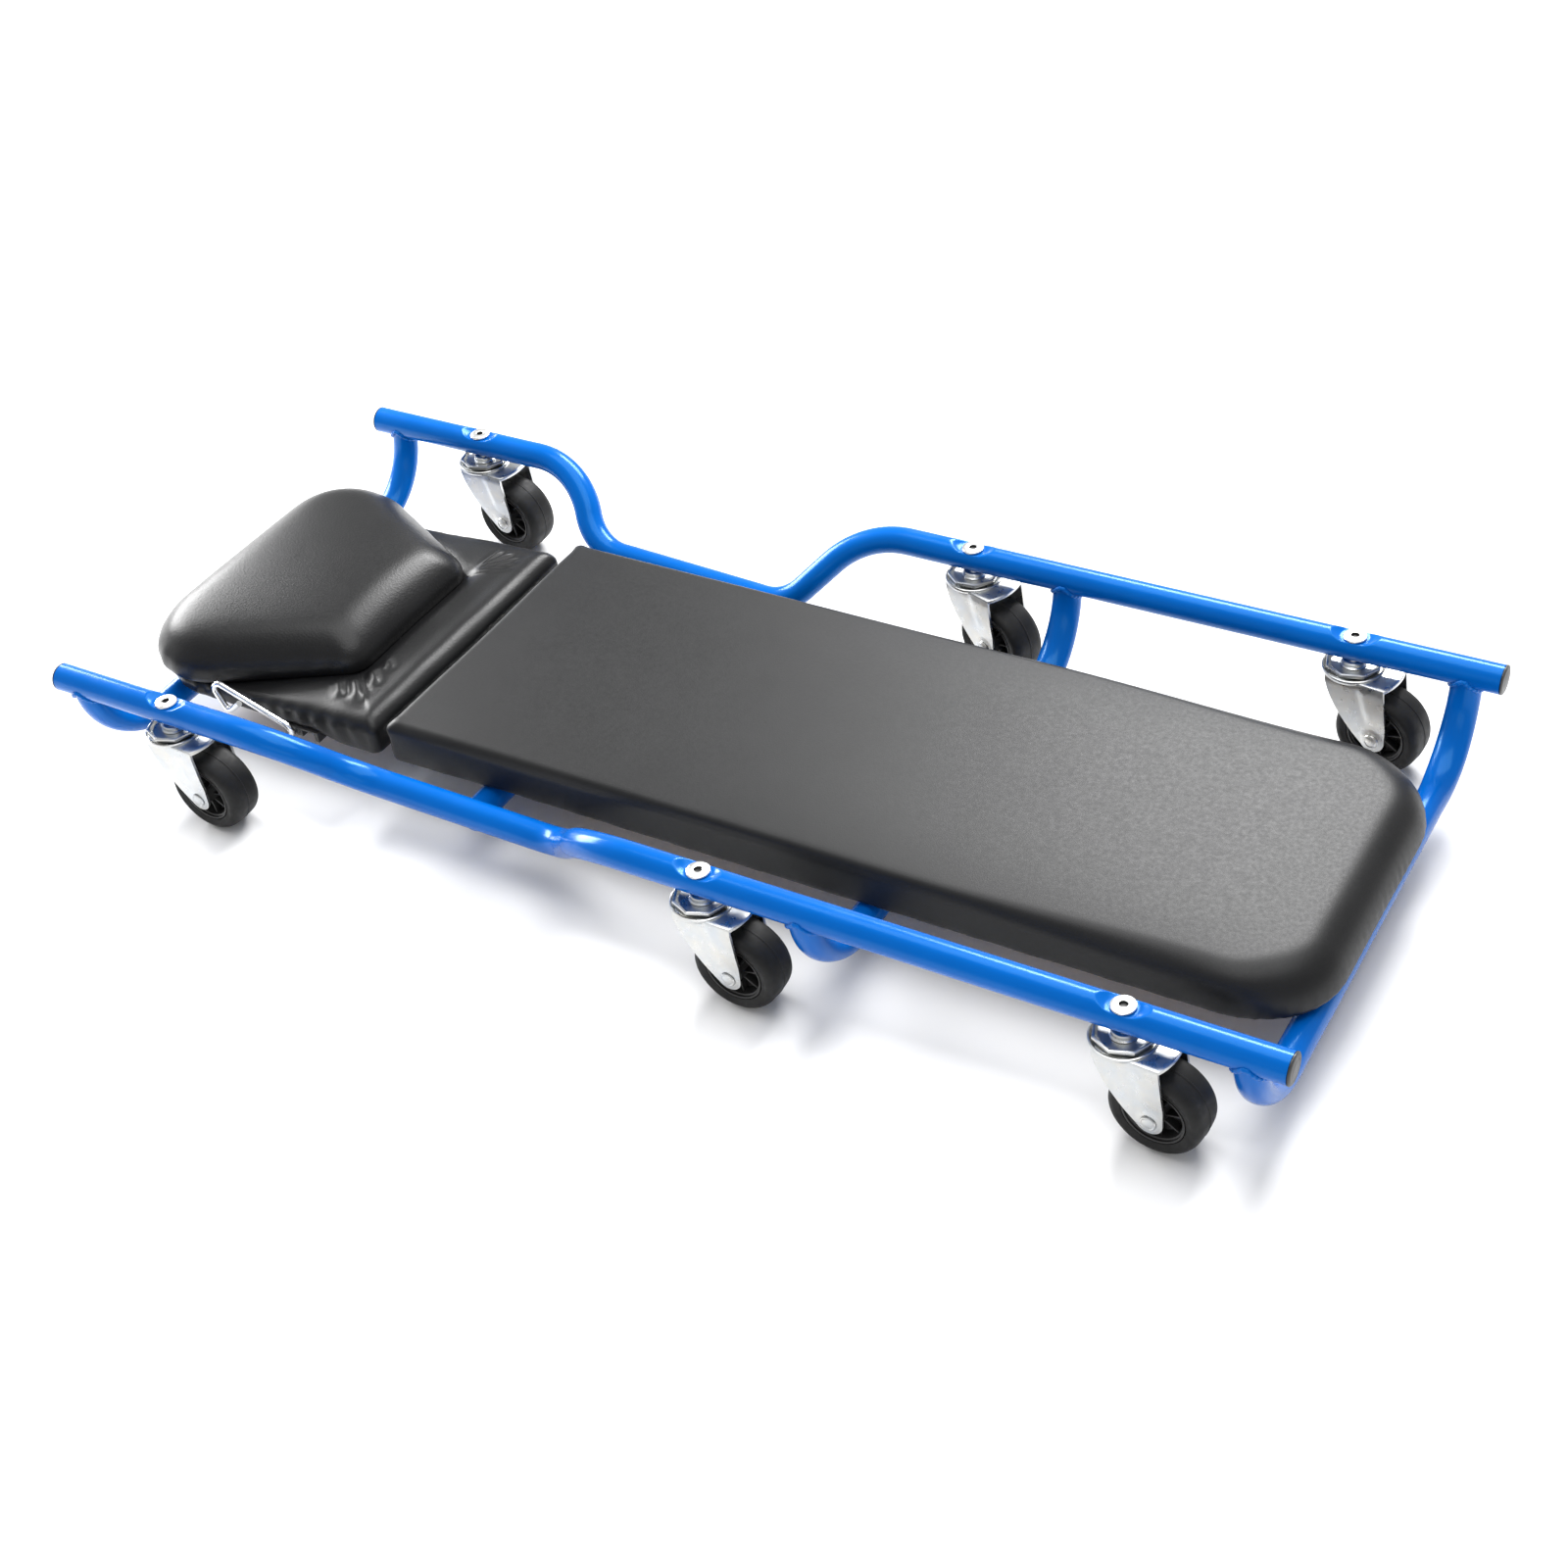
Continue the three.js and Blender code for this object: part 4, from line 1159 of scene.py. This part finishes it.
def make_pillow():
    low = PILLOW_LOW
    high = PILLOW_HIGH
    wide = PILLOW_WIDE
    narrow = PILLOW_FOOT_HALF
    corners = [(low.x, -wide), (high.x, -narrow), (high.x, narrow), (low.x, wide)]
    spine = (low.x + 0.085, high.x - 0.060)
    pad = Pad(corners, PILLOW_CORNER_R, [50, 38, 50, 60], 16, spine, least=0.020, depth=0.034)
    tuck = 0.009
    roll = 0.035
    dome = 0.0105
    pad.open_inside(0.03, low.z, 4)
    pad.bottom_roll(0.0005, low.z, tuck, 6)
    pad.top_roll(0.0005, high.z - dome, roll, 15, high.z - low.z - tuck - dome, skip=1)
    pad.close_top(14, high.z - dome)
    piece = pad.build("head_cushion", HEADREST_VINYL)
    points = coordinates(piece)
    x, y, z = points.T
    along = (x - low.x) / (high.x - low.x)
    reach = wide + (narrow - wide) * along
    across = np.clip(np.abs(y) / reach, 0, 1)
    away = np.clip(np.abs(along - 0.46) / 0.54, 0, 1)
    crown = (1 - across ** 2) * (1 - away ** 2.4)
    z += dome * crown * between(z, high.z - 0.034, high.z - dome)
    soften = between(z, high.z - 0.030, high.z - 0.016) * (kinds_of(piece) > 0.5)
    points += (relaxed(piece, points, 14) - points) * soften[:, None]
    set_coordinates(piece, points)
    puff(piece, 2.0, 0.0025, 12, between(z, high.z - 0.030, high.z - 0.014))
    subdivide(piece)
    points = coordinates(piece)
    x, y, z = points.T
    height = (z - low.z) / (high.z - low.z)
    lower = bump(height - 0.26, 0.4)
    head_side = between(-x, -low.x - 0.12, -low.x - 0.02)
    bearing = np.arctan2(y, x - (low.x + 0.09))
    pleats = np.sin(bearing * 46 + 2.2 * wobble(points, 14, 21)) * (0.6 + 0.6 * wobble(points, 30, 22))
    ripples = np.sin(x * 260 + 3 * wobble(points, 12, 23))
    heights = 0.0010 * pleats * lower * head_side
    heights += 0.0003 * ripples * lower * (1 - head_side)
    heights += 0.0004 * wobble(points, 9, 24) * between(height, 0.4, 0.8)
    sculpt(piece, heights)
    place_piece(piece, "headrest", "head_pillow")


# ---- headrest prop
WIRE_R = 2.5 * MM
PROP_X = JOINTS["prop_swing"]["pos_m"][0]
PROP_Z = JOINTS["prop_swing"]["pos_m"][2]
PROP_LEG = 0.062
LEG_HALF = 0.034
LOOP_Y = -0.140
LOOP_XZ = [(-0.393, -0.0405), (-0.408, -0.053), (-0.422, -0.021), (-0.341, -0.050)]
AXIS_END_Y = 0.100


def make_prop_wire():
    tip = PROP_X - PROP_LEG
    corners = [(x, LOOP_Y, RAIL_Z + z) for x, z in LOOP_XZ]
    corners += [
        (PROP_X, LOOP_Y + 0.002, PROP_Z), (PROP_X, -LEG_HALF, PROP_Z), (tip, -LEG_HALF, PROP_Z),
        (tip, LEG_HALF, PROP_Z), (PROP_X, LEG_HALF, PROP_Z), (PROP_X, AXIS_END_Y, PROP_Z),
    ]
    radii = [0.004, 0.007, 0.006, 0.005, 0.006, 0.006, 0.006, 0.006]
    path = bent_path(corners, radii, 8, 0.004)
    piece = add_mesh("prop_rod", *sweep(path, WIRE_R, 20, first_side=(0.3, 1, 0.2)), WIRE, sharp=60)
    place_piece(piece, "prop", "prop_wire")


# ---- carried-over nodes
def finish_cad_nodes():
    looks = {
        "hinge_leaf_bed": ZINC, "hinge_leaf_headrest": ZINC, "hinge_pin": ZINC,
        "wire_clip_right": STEEL_BLACK, "wire_clip_left": STEEL_BLACK, "notch_rack": STEEL_BLACK,
    }
    for node, material in looks.items():
        data = frame["nodes"][node].data
        data.materials.clear()
        data.materials.append(material)


# ---- studio
WORLD_STRENGTH = 0.5


def area_light(name, at, towards, size, power):
    data = bpy.data.lights.new(name, "AREA")
    data.shape = "RECTANGLE"
    data.size, data.size_y = size
    data.energy = power
    light = bpy.data.objects.new(name, data)
    light.location = at
    light.rotation_euler = (Vector(towards) - Vector(at)).to_track_quat("-Z", "Y").to_euler()
    bpy.context.scene.collection.objects.link(light)


def make_studio():
    bpy.ops.mesh.primitive_plane_add(size=30, location=(0, 0, 0))
    floor = bpy.context.object
    floor.name = "floor"
    floor.data.materials.append(floor_white())
    world = bpy.data.worlds.new("studio")
    bpy.context.scene.world = world
    world.use_nodes = True
    background = world.node_tree.nodes["Background"]
    background.inputs["Color"].default_value = (1, 1, 1, 1)
    background.inputs["Strength"].default_value = WORLD_STRENGTH
    area_light("overhead", (0.15, 0.2, 2.5), (0.05, 0, 0), (2.6, 1.9), 54)
    area_light("rear", (-0.2, 2.3, 2.15), (0.15, 0, 0.05), (1.5, 0.9), 125)
    area_light("left", (-2.3, 0.5, 0.85), (-0.35, 0, 0.1), (1.3, 1.0), 80)
    area_light("front", (0.9, -2.3, 0.9), (0.1, 0, 0.05), (1.9, 0.9), 6)
    bpy.context.scene.view_settings.view_transform = "Standard"


for rail_side, rail_sign in SIDES.items():
    make_rail(rail_side, rail_sign)
for tube_name, tube_x in CROSS_X.items():
    make_cross_tube(tube_name, tube_x)
make_shoulder_tube()
make_end_caps()
make_casters()
make_boards()
make_bed()
make_headrest()
make_pillow()
make_prop_wire()
finish_cad_nodes()
make_studio()
